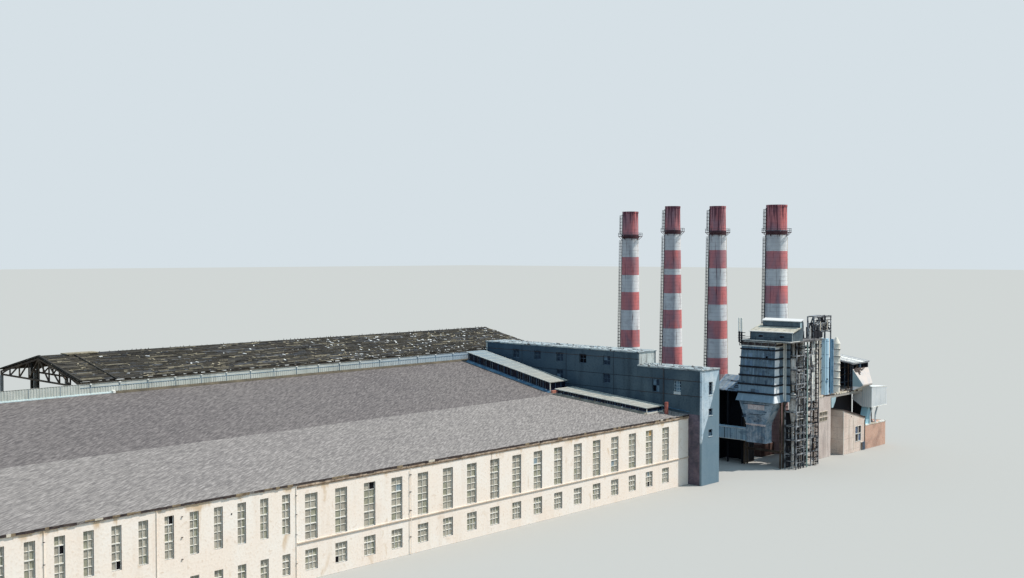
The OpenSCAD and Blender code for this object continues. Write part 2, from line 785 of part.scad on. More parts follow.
// Stretch of a caged ladder from height z over the length l, with n hoops
module ladder(z, l, n) {
  for (s = [-1, 1]) translate([ladder_gap, s * ladder_w / 2 - rail_t / 2, z]) cube([rail_t, rail_t, l]);
  for (k = [0:n - 1]) translate([0, 0, z + (k + 0.5) * l / n]) {
    translate([ladder_gap, 0, 0]) rotate([0, 0, -90]) rotate_extrude(angle = 180)
      rect(cage_d - rail_t, 0, rail_t, rail_t);
    for (s = [-1, 1]) translate([0, s * ladder_w / 2 - rail_t / 2, 0])
      cube([ladder_gap + rail_t, rail_t, rail_t]);
    translate([ladder_gap, -cage_d, 0]) cube([rail_t, 2 * cage_d, rail_t]);
  }
  translate([ladder_gap + cage_d - rail_t, -rail_t / 2, z + 0.5 * l / n]) cube([rail_t, rail_t, l - l / n]);
}

// Ladders lean with the taper, from the ground to the gallery and on to the rim
module chimney_ladders() color("dimgray") site() for (i = [0:3])
  translate([row_x, stack_ys[i], 0]) rotate([0, 0, ladder_angle]) translate([stack_r0[i], 0, 0])
    rotate([0, -atan((stack_r0[i] - stack_r1[i]) / stack_hs[i]), 0]) {
      ladder(0, stack_hs[i] - gallery_drop - cage_d, hoop_count);
      ladder(stack_hs[i] - gallery_drop + rail_t + seat_gap, gallery_drop - rail_t - rim_h - seat_gap, top_hoops);
    }

// Brick flues with cambered tops link the block and the chimneys
module flues() color("rosybrown") site() difference() {
  union() {
    along_y(stack_ys[3] - flue_w / 2, stack_ys[0] - stack_ys[3] + flue_w) translate([flue_x, 0]) flue_section();
    for (y = stack_ys) along_x(flue_x, row_x - flue_x) translate([y, 0]) flue_section();
    along_x(yard_x, flue_x - yard_x) translate([stack_ys[1], 0]) flue_section();
  }
  for (i = [0:3]) translate([row_x, stack_ys[i], -cut])
    cylinder(h = flue_h + flue_w, r = stack_r0[i] + seat_gap);
}

module flue_section() polygon([[-flue_w / 2, 0], [flue_w / 2, 0], [flue_w / 2, flue_h],
  [flue_w / 4, flue_h + flue_w / 5], [-flue_w / 4, flue_h + flue_w / 5], [-flue_w / 2, flue_h]]);

// Sheet-metal casing that leans in on two sides, with stiffeners, a flared foot and a riser
module tower_casing() color("lightslategray") site() {
  intersection() {
    along_x(tow_x, casing_l) polygon([[tow_y + rib_out, casing_z], [tow_y + casing_w - rib_out, casing_z],
      [tow_y + casing_w - rib_out - casing_lean, casing_z + casing_h], [tow_y + rib_out, casing_z + casing_h]]);
    along_y(tow_y, casing_w) polygon([[tow_x + rib_out, casing_z], [tow_x + casing_l - rib_out, casing_z],
      [tow_x + casing_l - rib_out, casing_z + casing_h], [tow_x + rib_out + front_lean, casing_z + casing_h]]);
  }
  for (z = concat([for (i = [0:rib_count - 1]) skirt_h + i * rib_pitch], [casing_h - rib_h]))
    let (lean = z / casing_h) translate([tow_x + front_lean * lean, tow_y, casing_z + z])
      cube([casing_l - front_lean * lean, casing_w - casing_lean * lean, rib_h]);
  intersection() {
    along_x(tow_x - skirt_out, casing_l + skirt_out)
      polygon([[tow_y - skirt_out, casing_z], [tow_y + casing_w + skirt_out, casing_z],
               [tow_y + casing_w - 2 * rib_out, casing_z + skirt_h], [tow_y + rib_out, casing_z + skirt_h]]);
    along_y(tow_y - skirt_out, casing_w + 2 * skirt_out)
      polygon([[tow_x - skirt_out, casing_z], [tow_x + casing_l, casing_z],
               [tow_x + casing_l, casing_z + skirt_h], [tow_x + 2 * rib_out, casing_z + skirt_h]]);
  }
  translate([rack_x - riser_t, tow_y - riser_w, casing_z])
    cube([riser_t - seat_gap, riser_w + 2 * rib_out, casing_h + deck_gap / 2]);
}

// Hopper tapering to the outlet box, upright on its front side, with two flanges
module tower_hopper() color("slategray") site() {
  z = casing_z - hopper_h;
  intersection() {
    along_x(tow_x, casing_l) polygon([[out_y, z], [out_y + outlet_w, z],
      [tow_y + casing_w - leg_w, casing_z], [tow_y + leg_w, casing_z]]);
    along_y(tow_y, casing_w) polygon([[out_x, z], [out_x + outlet_l, z],
      [tow_x + casing_l - leg_w, casing_z], [out_x, casing_z]]);
  }
  translate([out_x, out_y, out_z]) cube([outlet_l, outlet_w, outlet_h]);
  for (h = [z - rib_h / 2, out_z]) translate([out_x - rib_out, out_y - rib_out, h])
    cube([outlet_l + 2 * rib_out, outlet_w + 2 * rib_out, rib_h]);
}

// Four legs under the casing, tied by girts
module tower_legs() color("dimgray") site() {
  for (x = [tow_x + leg_in, tow_x + casing_l - leg_w]) along_x(x, leg_w) {
    for (y = [tow_y, tow_y + casing_w - leg_w]) rect(y, 0, leg_w, casing_z);
    rect(tow_y, leg_girt, casing_w, rack_t);
  }
  for (y = [tow_y, tow_y + casing_w - leg_w])
    along_y(y, leg_w) rect(tow_x + leg_in, leg_girt, casing_l - leg_in, rack_t);
}

// The deck stands on a plenum and stubs over the casing, and on the pipe rack's posts
module tower_deck() color("gray") site() {
  top_w = casing_w - casing_lean;
  translate([deck_x, pent_y, deck_z])
    cube([tow_x + casing_l + rack_l + deck_out - deck_x, top_w + rack_w + deck_over, deck_t]);
  for (x = [tow_x + front_lean, tow_x + casing_l - leg_w], i = [0:stub_count - 1])
    translate([x, tow_y + i * (top_w - leg_w) / (stub_count - 1), casing_z + casing_h])
      cube([leg_w, leg_w, deck_gap]);
  translate([tow_x + front_lean + 2 * leg_w, tow_y + 2 * leg_w, casing_z + casing_h])
    cube([casing_l - front_lean - 4 * leg_w, top_w - 4 * leg_w, deck_gap]);
}

// Height of the lower penthouse's sloping top at a distance behind its front
function pent_top(d) = pent_z + pent_h + pent_slope * d;

// Height of the upper penthouse's sloping top
function up_top(d) = pent_top(up_in) + roof_gap + top_pent_h + pent_slope * (d - up_in);

module penthouse_walls() color("lightslategray") site() difference() {
  union() {
    along_y(pent_y, pent_w) polygon([[pent_x, pent_z], [pent_x + pent_l, pent_z],
      [pent_x + pent_l, pent_top(pent_l)], [pent_x, pent_top(0)]]);
    along_y(pent_y, up_w) polygon([[pent_x + up_in, pent_z], [pent_x + pent_l, pent_z],
      [pent_x + pent_l, up_top(pent_l)], [pent_x + up_in, up_top(up_in)]]);
  }
  for (i = [0:1]) translate([pent_x - cut, pent_y + (i + 0.5) * pent_w / 2 - pent_win_h, pent_z + pent_h / 3])
    cube([rib_out + cut, 2 * pent_win_h, pent_win_h]);
}

// Each penthouse roof rises towards the back; the lower one leaves room for the upper walls
module penthouse_roofs() color("lightgray") site() {
  difference() {
    along_y(pent_y - deck_out, pent_w + 2 * deck_out)
      polygon([[pent_x - deck_out, pent_top(-deck_out)], [pent_x + pent_l + deck_out, pent_top(pent_l + deck_out)],
               [pent_x + pent_l + deck_out, pent_top(pent_l + deck_out) + roof_gap],
               [pent_x - deck_out, pent_top(-deck_out) + roof_gap]]);
    translate([pent_x + up_in - seat_gap, pent_y - deck_out - cut, pent_z])
      cube([pent_l, up_w + deck_out + cut + seat_gap, 2 * pent_h]);
  }
  along_y(pent_y - deck_out, up_w + 2 * deck_out)
    polygon([[pent_x + up_in - deck_out, up_top(up_in - deck_out)],
             [pent_x + pent_l + deck_out, up_top(pent_l + deck_out)],
             [pent_x + pent_l + deck_out, up_top(pent_l + deck_out) + roof_gap],
             [pent_x + up_in - deck_out, up_top(up_in - deck_out) + roof_gap]]);
}

// Steel rack beside the casing, and the stand with rails over the shaft house
module pipe_rack() color("dimgray") site() {
  for (y = [tow_y - rack_w, tow_y - rack_t]) along_y(y, rack_t) {
    for (i = [0:rack_bays]) rect(rack_x + i * (rack_l - rack_t) / rack_bays, 0, rack_t, deck_z);
    for (k = [1:rack_levels - 1]) rect(rack_x, k * deck_z / rack_levels, rack_l, rack_t);
    for (i = [0:rack_bays - 1]) bar([rack_x + i * rack_l / rack_bays + rack_t, deck_z / 2],
      [rack_x + (i + 1) * rack_l / rack_bays - rack_t, deck_z * 0.75], rack_brace);
  }
  for (i = [0:rack_bays], k = [1:rack_levels - 1])
    along_x(rack_x + i * (rack_l - rack_t) / rack_bays, rack_t)
      rect(tow_y - rack_w, k * deck_z / rack_levels, rack_w, rack_t);
  shaft_stand();
}

// Posts on the shaft house carry a platform, a railing and a sloping panel
module shaft_stand() {
  z = shaft_house_h + frame_h;
  posts = [for (i = [0:3]) stand_x + i * (plat_x - rack_t - stand_x) / 3];
  for (y = [house_y, house_y + stand_w - rack_t]) along_y(y, rack_t) {
    for (x = posts) rect(x, shaft_house_h, rack_t, frame_h + top_rail);
    for (h = [top_rail / 2, top_rail - rack_t]) rect(stand_x, z + h, plat_x - stand_x, rack_t);
    bar([stand_x + rack_t, z + slab_t / 2], [posts[1], z + top_rail - rack_t], rack_brace);
    bar([stand_x + stand_l / 3, z + top_rail / 2 + rack_t], [plat_x, z + slab_t / 2], rack_t);
  }
  for (x = posts) along_x(x, rack_t) rect(house_y, z - rack_t, stand_w, rack_t);
  translate([stand_x, house_y, z]) cube([stand_l, stand_w, slab_t]);
}

// Pairs of cyclones stacked on one pipe, beside the rack's second and third posts
module cyclones() color("ivory") site() for (i = [0, 1])
  translate([rack_x + i * (rack_l - rack_t) / rack_bays + rack_t + cyclone_d / 2 + 2, tow_y - rack_w / 2, 0])
    rotate_extrude() cyclone_profile(i * rack_brace * 2);

// Half section of one stack: pipe, cone and drum twice over
module cyclone_profile(lift) {
  r = cyclone_d / 2;
  polygon([[0, 0], [leg_w, 0], [leg_w, 1060 + lift], [r, 1420 + lift], [r, 1800 + lift], [leg_w, 1840 + lift],
           [leg_w, 1960 + lift], [r, 2300 + lift], [r, 2660 + lift], [leg_w, 2700 + lift], [leg_w, deck_z], [0, deck_z]]);
}

// Square duct from the outlet box back to the block, on posts
module gas_duct() color("lightslategray") site() {
  y0 = out_y + outlet_w + rib_out;
  z = out_z + rib_h;
  turn_y = y0 + duct_run - outlet_l;
  translate([out_x, y0, z]) cube([outlet_l, duct_run, duct_h]);
  translate([yard_x, turn_y, z]) cube([out_x + outlet_l - yard_x, outlet_l, duct_h]);
  for (x = [yard_x + outlet_l, (yard_x + out_x) / 2, out_x]) translate([x, turn_y, 0])
    cube([leg_w, leg_w, z]);
}

// House behind the tower, open towards the block, with a roof rising to the yard
module link_roof() color("slategray") site() {
  difference() {
    along_y(link_y, link_w) polygon([[link_x, 0], [link_x + link_l, 0], [link_x + link_l, link_z + link_rise],
      [link_x, link_z]]);
    along_y(link_y + annex_t, link_w - 2 * annex_t)
      polygon([[link_x - cut, -cut], [link_x + link_l - annex_t, -cut],
               [link_x + link_l - annex_t, link_z + link_rise - 2 * annex_t], [link_x - cut, link_z - annex_t]]);
  }
  translate([link_x, link_y + (link_w - leg_w) / 2, 0]) cube([leg_w, leg_w, link_z - annex_t / 2]);
}

// Closed house with a slab on top and two rows of slit windows in its front
module shaft_house() color("wheat") site() difference() {
  translate([house_x, house_y, 0]) cube([shaft_house_l - seat_gap, shaft_house_w, shaft_house_h]);
  translate([house_x + annex_t, house_y + annex_t, floor_t])
    cube([shaft_house_l - 2 * annex_t, shaft_house_w - 2 * annex_t, shaft_house_h - floor_t - slab_h]);
  for (i = [0:2], k = [0:1]) translate([slit_x + i * slit_pitch, house_y - cut, slit_z + k * slit_pitch])
    cube([slit_w, rib_out + cut, slit_h]);
}

// Three round shafts: the outer two have rings, and the last one a conical head
module shafts() color("beige") site() {
  for (i = [0:2]) translate([shaft_xs[i], shaft_y, shaft_house_h]) {
    cylinder(h = i == 2 ? shaft_h - head_h : shaft_h, d = shaft_w);
    if (i != 1) for (k = [1:ring_rows - 1]) translate([0, 0, k * ring_pitch]) cylinder(h = 2 * ring_t, d = shaft_w + 2 * rib_out);
  }
  translate([shaft_xs[2], shaft_y, shaft_house_h + shaft_h - head_h])
    cylinder(h = head_h, r1 = shaft_w / 2 + ring_t, r2 = shaft_w / 8);
}

// Charging platform level with the shaft house, with its walls, its shed and the wall under the hood
module charging_shed() color("darkgray") site() {
  z = shaft_house_h - slab_h;
  top = shaft_house_h + shed_h;
  translate([plat_x, house_y, z]) cube([plat_l, plat_w, slab_h]);
  for (y = [wall_y, back_y - annex_t]) translate([plat_x, y, 0]) cube([plat_l, annex_t, z]);
  for (x = [shed_x, shed_x + shed_l - leg_w]) translate([x, house_y, shaft_house_h]) cube([leg_w, leg_w, shed_h]);
  along_x(shed_x, shed_l) shed_strip(plat_w - annex_t, plat_w, shaft_house_h - shed_roof(plat_w - annex_t), 0);
  along_x(shed_x + shed_l - annex_t, annex_t) polygon([[house_y + leg_w, shaft_house_h], [back_y, shaft_house_h],
    [back_y, shed_roof(plat_w)], [house_y + leg_w, shed_roof(leg_w)]]);
  along_x(shed_x - deck_out, shed_l + 2 * deck_out) shed_strip(-deck_out, plat_w + deck_out, 0, block_roof_t);
  along_x(shed_x, shed_l) rect(house_y, top - leg_w, leg_w, leg_w);
  along_x(plat_x + plat_l, annex_t) polygon([[annex_y + 2 * leg_w, brick_h], [wall_y - annex_t, brick_h], [wall_y - annex_t, z],
    [hood_y + hood_w, z], [hood_y + hood_w, hood_z + hood_h / 3], [hood_y + hood_w / 2, hood_z], [annex_y + 2 * leg_w, hood_z]]);
}

// Underside of the shed roof at a distance behind its front
function shed_roof(d) = shaft_house_h + shed_h + shed_rise * d / plat_w;

// Strip that follows the shed roof between the distances a and b
module shed_strip(a, b, lo, hi) polygon([[house_y + a, shed_roof(a) + lo], [house_y + b, shed_roof(b) + lo],
  [house_y + b, shed_roof(b) + hi], [house_y + a, shed_roof(a) + hi]]);

// Height of the annex roof's underside at a distance from its high end
function annex_top(d) = annex_h - annex_fall * d / annex_l;

// Outline of the annex's sloping ends between two distances, in X and Z
module annex_slope(a, b, lo) polygon([[annex_x + a, lo], [annex_x + b, lo], [annex_x + b, annex_top(b)],
  [annex_x + a, annex_top(a)]]);

module annex_walls() color("beige") site() {
  along_y(annex_y + annex_t, annex_w - 2 * annex_t) {
    annex_slope(0, annex_t, 0);
    annex_slope(annex_l - annex_t, annex_l, 0);
  }
  along_y(annex_y + annex_w - annex_t, annex_t) annex_slope(0, annex_l, 0);
}

module annex_front() color("beige") site() along_y(annex_y, annex_t) difference() {
  annex_slope(0, annex_l, 0);
  rect(door_x, 0, door_w, door_h);
  for (i = [0:1], k = [0:1]) rect(annex_win_x + i * annex_win_w / 2, annex_win_z + k * annex_win_h / 2,
    annex_win_w / 2 - rib_out, annex_win_h / 2 - rib_out);
}

module annex_roof() color("lightgray") site() along_y(annex_y - rib_out, annex_w + rib_out) difference() {
  polygon([[annex_x - rib_out, annex_top(-rib_out)], [brick_x, annex_top(annex_l)],
           [brick_x, annex_top(annex_l) + block_roof_t], [annex_x - rib_out, annex_top(-rib_out) + block_roof_t]]);
}

module brick_house() color("rosybrown") site() difference() {
  translate([brick_x, annex_y, 0]) cube([brick_l, annex_w, brick_h]);
  translate([brick_x + annex_t, annex_y + annex_t, floor_t])
    cube([brick_l - 2 * annex_t, annex_w - 2 * annex_t, brick_h - floor_t - block_roof_t]);
}

// White hood on bent legs over the brick house, its spout, and the chute from the shed
module loading_hood() color("whitesmoke") site() {
  under = shaft_house_h - slab_h - seat_gap;
  y = hood_y;
  intersection() {
    along_x(hood_x, hood_l) polygon([[y, hood_z], [y + hood_w / 2, hood_z], [y + hood_w, hood_z + hood_h / 3],
      [y + hood_w - leg_w, under], [house_y - seat_gap, under], [house_y - seat_gap, hood_z + hood_h - leg_w],
      [y + hood_w / 3, hood_z + hood_h], [y, hood_z + hood_h]]);
    along_y(y, hood_w) polygon([[hood_x, hood_z], [hood_x + hood_l, hood_z],
      [hood_x + hood_l, hood_z + hood_h - hood_fall], [hood_x, hood_z + hood_h]]);
  }
  along_y(annex_y, leg_w) for (d = [300, 620]) {
    bar([hood_x + d, hood_z + leg_w], [hood_x + d - 150, hood_z - 230], leg_w);
    rect(hood_x + d - 150 - leg_w / 2, brick_h, leg_w, hood_z - 225 - brick_h);
  }
  along_y(annex_y + leg_w, hood_w / 3) polygon([[brick_x + 90, brick_h], [brick_x + 90 + spout_l, brick_h],
    [brick_x + 50 + spout_l, brick_h + 60], [hood_x + 160, hood_z + leg_w], [hood_x + 100, hood_z + leg_w],
    [brick_x + 90, brick_h + 60]]);
  intersection() {
    along_x(shed_x, shed_l) polygon([[house_y - seat_gap, shaft_house_h], [house_y - seat_gap, shaft_house_h + chute_high],
      [house_y - chute_reach, shaft_house_h + chute_low + leg_w], [house_y - chute_reach, shaft_house_h + chute_low]]);
    linear_extrude(shaft_house_h + chute_high) polygon([[shed_x, house_y], [shed_x + shed_l, house_y],
      [hood_x, house_y - chute_reach], [shed_x, house_y - chute_reach]]);
  }
}

hall_floor();
hall_upper_floor();
hall_front_wall_left();
hall_front_wall_middle();
hall_front_wall_main();
hall_cornice();
hall_belt_course();
hall_gable_front();
hall_gable_rear();
hall_gable_head();
hall_rear_wall();
hall_roof_lower();
hall_roof_upper();
hall_columns();
hall_roof_beams();
hall_upper_windows();
hall_lower_windows();
downpipes();
parapet();
front_lantern_frame();
front_lantern_glass();
front_lantern_roof();
rear_lantern_frame();
rear_lantern_glass();
rear_lantern_roof();
nave_trusses();
nave_purlins();
nave_columns();
block_hall_wall();
block_front_wall();
block_yard_wall();
block_cross_walls();
block_roofs();
block_floors();
block_windows();
chimney_1();
chimney_2();
chimney_3();
chimney_4();
chimney_galleries();
chimney_ladders();
flues();
tower_casing();
tower_hopper();
tower_legs();
tower_deck();
penthouse_walls();
penthouse_roofs();
pipe_rack();
gas_duct();
link_roof();
shaft_house();
shafts();
annex_walls();
annex_front();
annex_roof();
brick_house();
loading_hood();
cyclones();
charging_shed();
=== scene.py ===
import math
import random

import bmesh
import bpy
from mathutils import Matrix, Vector


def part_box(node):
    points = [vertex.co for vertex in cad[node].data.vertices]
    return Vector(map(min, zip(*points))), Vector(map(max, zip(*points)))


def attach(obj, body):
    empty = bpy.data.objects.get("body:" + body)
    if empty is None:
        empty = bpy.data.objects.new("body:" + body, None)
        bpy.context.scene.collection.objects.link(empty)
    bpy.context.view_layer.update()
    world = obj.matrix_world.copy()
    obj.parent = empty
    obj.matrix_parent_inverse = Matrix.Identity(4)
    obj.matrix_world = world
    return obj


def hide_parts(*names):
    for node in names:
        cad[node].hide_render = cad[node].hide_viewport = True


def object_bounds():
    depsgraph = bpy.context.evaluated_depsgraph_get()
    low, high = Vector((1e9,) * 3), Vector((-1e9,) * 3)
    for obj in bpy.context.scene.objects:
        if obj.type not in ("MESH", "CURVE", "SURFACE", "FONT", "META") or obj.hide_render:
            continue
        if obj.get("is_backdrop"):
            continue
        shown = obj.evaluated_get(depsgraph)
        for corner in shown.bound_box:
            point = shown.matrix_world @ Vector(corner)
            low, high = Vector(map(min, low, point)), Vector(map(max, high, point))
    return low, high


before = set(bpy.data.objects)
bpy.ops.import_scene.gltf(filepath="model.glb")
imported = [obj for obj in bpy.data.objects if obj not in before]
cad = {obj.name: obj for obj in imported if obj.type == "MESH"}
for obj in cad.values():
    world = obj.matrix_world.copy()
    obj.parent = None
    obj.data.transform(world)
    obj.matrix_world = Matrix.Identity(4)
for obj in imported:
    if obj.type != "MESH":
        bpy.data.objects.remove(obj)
cadLow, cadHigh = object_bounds()
scene = bpy.context.scene
scene.view_settings.view_transform = "Standard"
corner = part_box("hall_front_wall_left")[0]  # front left corner of the hall, on the ground
site = Matrix.Translation((corner.x, corner.y, 0)) @ Matrix.Scale(0.001, 4)  # site millimetres to metres
print("frame loaded:", len(cad), "nodes")


def nodeBox(*names):
    # the lowest and highest corners of CAD nodes, in site millimetres
    corners = [site.inverted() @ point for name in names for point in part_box(name)]
    return tuple(Vector([pick(c[i] for c in corners) for i in range(3)]) for pick in (min, max))


def tint(red, green, blue):
    # a screen colour from 0 to 255 as the linear colour that a shader takes
    return tuple(((c / 255 + 0.055) / 1.055) ** 2.4 for c in (red, green, blue)) + (1,)


def toned(**settings):
    # settings in which each group of three numbers is a screen colour
    return {key: tint(*value) if isinstance(value, tuple) else value for key, value in settings.items()}


def shades(base, pale, dark, **more):
    return toned(base=base, pale=pale, dark=dark, **more)


class Finish:
    # one node material, made up step by step from the object's own coordinates in metres
    def __init__(self, name, rough=0.85, specular=0.3):
        self.material = bpy.data.materials.new(name)
        self.material.use_nodes = True
        tree = self.material.node_tree
        tree.nodes.clear()
        self.nodes, self.links = tree.nodes, tree.links
        self.shader = self.add("BsdfPrincipled", {"Roughness": rough, "Specular IOR Level": specular})
        self.add("OutputMaterial", {"Surface": self.shader.outputs[0]})
        self.place = self.add("TexCoord").outputs["Object"]
        self.axes = self.add("SeparateXYZ", {"Vector": self.place}).outputs

    def feed(self, socket, value):
        if isinstance(value, bpy.types.NodeSocket):
            self.links.new(value, socket)
        else:
            socket.default_value = value

    def add(self, kind, inputs=None, **settings):
        node = self.nodes.new("ShaderNode" + kind)
        for key, value in settings.items():
            setattr(node, key, value)
        for socket, value in (inputs or {}).items():
            self.feed(node.inputs[socket], value)
        return node

    def noise(self, scale, detail=3, stretch=None, warp=0.0, turn=0):
        # stretch multiplies the pattern's scale along each axis, once it is turned about the upright
        place = self.place
        if turn:
            place = self.add("Mapping", {"Vector": place, "Rotation": (0, 0, math.radians(-turn))}).outputs[0]
        if stretch:
            place = self.add("Mapping", {"Vector": place, "Scale": stretch}).outputs[0]
        inputs = {"Vector": place, "Scale": scale, "Detail": detail, "Distortion": warp}
        return self.add("TexNoise", inputs).outputs["Fac"]

    def cracks(self, scale, stretch):
        # the distance to the nearest edge of a pattern of cells
        place = self.add("Mapping", {"Vector": self.place, "Scale": stretch}).outputs[0]
        inputs = {"Vector": place, "Scale": scale}
        return self.add("TexVoronoi", inputs, feature="DISTANCE_TO_EDGE").outputs["Distance"]

    def siteAxis(self, axis, start=0.0):
        # one coordinate in metres from the hall's front left corner, less a start given in site millimetres
        return self.maths("SUBTRACT", self.axes[axis], (corner.x, corner.y, 0)[axis] + start / 1000)

    def span(self, value, low, high, least=0.0, most=1.0):
        inputs = {"Value": value, "From Min": low, "From Max": high, "To Min": least, "To Max": most}
        return self.add("MapRange", inputs).outputs["Result"]

    def above(self, value, limit, soft=0.001):
        return self.span(value, limit - soft, limit + soft)

    def below(self, value, limit, soft=0.001):
        return self.span(value, limit - soft, limit + soft, 1, 0)

    def maths(self, kind, first, second=0.0, third=0.0):
        return self.add("Math", {0: first, 1: second, 2: third}, operation=kind).outputs[0]

    def plus(self, first, second):
        return self.maths("ADD", first, second)

    def times(self, first, second):
        return self.maths("MULTIPLY", first, second)

    def mix(self, share, first, second):
        return self.add("Mix", {0: share, 6: first, 7: second}, data_type="RGBA").outputs[2]

    def stripes(self, axis, pitch, width, start=0.0):
        # a mask of lines across an axis, all in metres
        turns = self.maths("DIVIDE", self.maths("SUBTRACT", self.axes[axis], start), pitch)
        return self.maths("LESS_THAN", self.maths("FRACT", turns), width / pitch)

    def steps(self, value, stops):
        # hard steps of colour: each stop is a place from 0 to 1 and the colour above it
        ramp = self.add("ValToRGB", {"Fac": value})
        ramp.color_ramp.interpolation = "CONSTANT"
        points = ramp.color_ramp.elements
        points.remove(points[1])
        points[0].position, points[0].color = stops[0]
        for place, colour in stops[1:]:
            points.new(place).color = colour
        return ramp.outputs["Color"]

    def paint(self, colour):
        self.colour = colour
        self.feed(self.shader.inputs["Base Color"], colour)

    def lay(self, tone, share, *limits):
        # lays a tone over the colour so far; with limits, a value becomes its share as in span
        self.paint(self.mix(self.span(share, *limits) if limits else share, self.colour, tone))

    def sheen(self, value):
        self.feed(self.shader.inputs["Roughness"], value)

    def relief(self, height, strength=0.4, depth=0.01):
        below = self.shader.inputs["Normal"]
        inputs = {"Height": height, "Strength": strength, "Distance": depth}
        if below.links:
            inputs["Normal"] = below.links[0].from_socket
        self.feed(below, self.add("Bump", inputs).outputs["Normal"])


def weathered(name, look):
    # a base colour with broad patches, runs down the face, fine specks and a fine relief
    rough = look.get("rough", 0.85)
    finish = Finish(name, rough)
    patches = finish.noise(look.get("patchScale", 1.6), 5, warp=0.6)
    finish.paint(finish.mix(finish.span(patches, 0.38, 0.66), look["base"], look["pale"]))
    runs = finish.noise(look.get("runScale", 9), 3, stretch=(1, 1, look.get("runStretch", 0.12)))
    finish.lay(look["dark"], runs, 0.52, 0.75, 0, look.get("runs", 0.4))
    grain = finish.noise(look.get("grainScale", 45), 4)
    finish.lay(look["dark"], grain, 0.52, 0.72, 0, look.get("specks", 0.35))
    finish.sheen(finish.span(grain, 0.3, 0.7, rough - 0.12, min(1, rough + 0.1)))
    finish.relief(grain, look.get("relief", 0.35), 0.008)
    return finish


def coat(name, base, pale, dark, **more):
    # a weathered finish straight from its three tones
    return weathered(name, shades(base, pale, dark, **more))


def glazing(name, base, dust, rough=0.5, specular=0.4):
    # old glass: a nearly opaque, dusty pane with a soft gloss
    finish = Finish(name, rough, specular)
    cloud = finish.noise(12, 4, warp=0.5)
    finish.paint(finish.mix(finish.span(cloud, 0.35, 0.68), tint(*base), tint(*dust)))
    finish.sheen(finish.span(cloud, 0.3, 0.7, rough * 0.6, rough))
    return finish


def dress(finish, *names):
    for name in names:
        for holder in cad[name].material_slots:
            holder.material = finish.material


def setFinish(verts, finish):
    for vert in verts:
        for face in vert.link_faces:
            face.material_index = finish


def addBox(bm, low, high, finish=0, place=None):
    middle = [(a + b) / 2 for a, b in zip(low, high)]
    matrix = Matrix.Translation(middle) @ Matrix.Diagonal((*(b - a for a, b in zip(low, high)), 1))
    made = bmesh.ops.create_cube(bm, size=1, matrix=place @ matrix if place else matrix)
    setFinish(made["verts"], finish)
    return made["verts"]


def addBoxes(bm, *boxes):
    # several boxes, each with its lowest corner, its highest corner and its finish
    for low, high, finish in boxes:
        addBox(bm, low, high, finish)


def addBar(bm, start, end, width, finish=0, sides=0, depth=None, place=None):
    # a bar between two points: square, or round with that many sides
    start, end = Vector(start), Vector(end)
    if place:
        start, end = place @ start, place @ end
    turn = (end - start).to_track_quat("Z", "Y").to_matrix().to_4x4()
    matrix = Matrix.Translation((start + end) / 2) @ turn
    length = (end - start).length
    if sides:
        made = bmesh.ops.create_cone(bm, cap_ends=True, segments=sides, radius1=width / 2, radius2=width / 2,
                                     depth=length, matrix=matrix)
    else:
        matrix = matrix @ Matrix.Diagonal((width, depth or width, length, 1))
        made = bmesh.ops.create_cube(bm, size=1, matrix=matrix)
    setFinish(made["verts"], finish)


def addPrism(bm, outline, reach, finish=0):
    # a closed outline of points, pulled along the vector reach
    ring = [bm.verts.new(point) for point in outline]
    face = bm.faces.new(ring)
    pulled = bmesh.ops.extrude_face_region(bm, geom=[face])["geom"]
    moved = [item for item in pulled if isinstance(item, bmesh.types.BMVert)]
    bmesh.ops.translate(bm, verts=moved, vec=reach)
    setFinish(ring + moved, finish)
    bmesh.ops.recalc_face_normals(bm, faces=list({f for v in ring + moved for f in v.link_faces}))


def thicken(bm, verts, thickness, finish=0):
    # gives the skin through these points its thickness and its finish
    faces = list({f for v in verts for f in v.link_faces})
    thick = bmesh.ops.solidify(bm, geom=faces, thickness=thickness)["geom"]
    faces += [item for item in thick if isinstance(item, bmesh.types.BMFace)]
    shell = list({f for face in faces if face.is_valid for v in face.verts for f in v.link_faces})
    bmesh.ops.recalc_face_normals(bm, faces=shell)
    for face in shell:
        face.material_index = finish


def addRing(bm, place, inner, outer, low, high, finish=0, segments=32):
    made = bmesh.ops.create_cone(bm, cap_ends=False, segments=segments, radius1=outer, radius2=outer,
                                 depth=high - low, matrix=place @ Matrix.Translation((0, 0, (low + high) / 2)))
    thicken(bm, made["verts"], outer - inner, finish)


def addSheet(bm, start, length, out, height, pitch):
    # a corrugated sheet along x: its folds stand out along y, and it rises by height
    start, along, out, up = Vector(start), Vector((length, 0, 0)), Vector((0, out, 0)), Vector((0, 0, height))
    count = max(1, round(along.length / pitch))
    step = along / count
    points = []
    for i in range(count):
        fold = start + step * i
        points += [fold, fold + step * 0.42, fold + step * 0.5 + out, fold + step * 0.92 + out]
    points.append(start + along)
    row = [bm.verts.new(point) for point in points]
    edges = [bm.edges.new(pair) for pair in zip(row, row[1:])]
    pulled = bmesh.ops.extrude_edge_only(bm, edges=edges)["geom"]
    moved = [item for item in pulled if isinstance(item, bmesh.types.BMVert)]
    bmesh.ops.translate(bm, verts=moved, vec=up)
    thicken(bm, row, 2)


def between(low, high):
    # a random measure, from the generator that the piece in hand has set
    return draw.uniform(low, high)


def pick(kinds, odds):
    return draw.choices(kinds, odds)[0]


def lengths(start, stop, least, most, last=None, gap=None):
    # random lengths one after another: each one's start and end, with a random gap between them if asked
    while start < stop:
        end = min(start + between(least, most), last or stop)
        yield start, end
        start = end + between(*gap) if gap else end


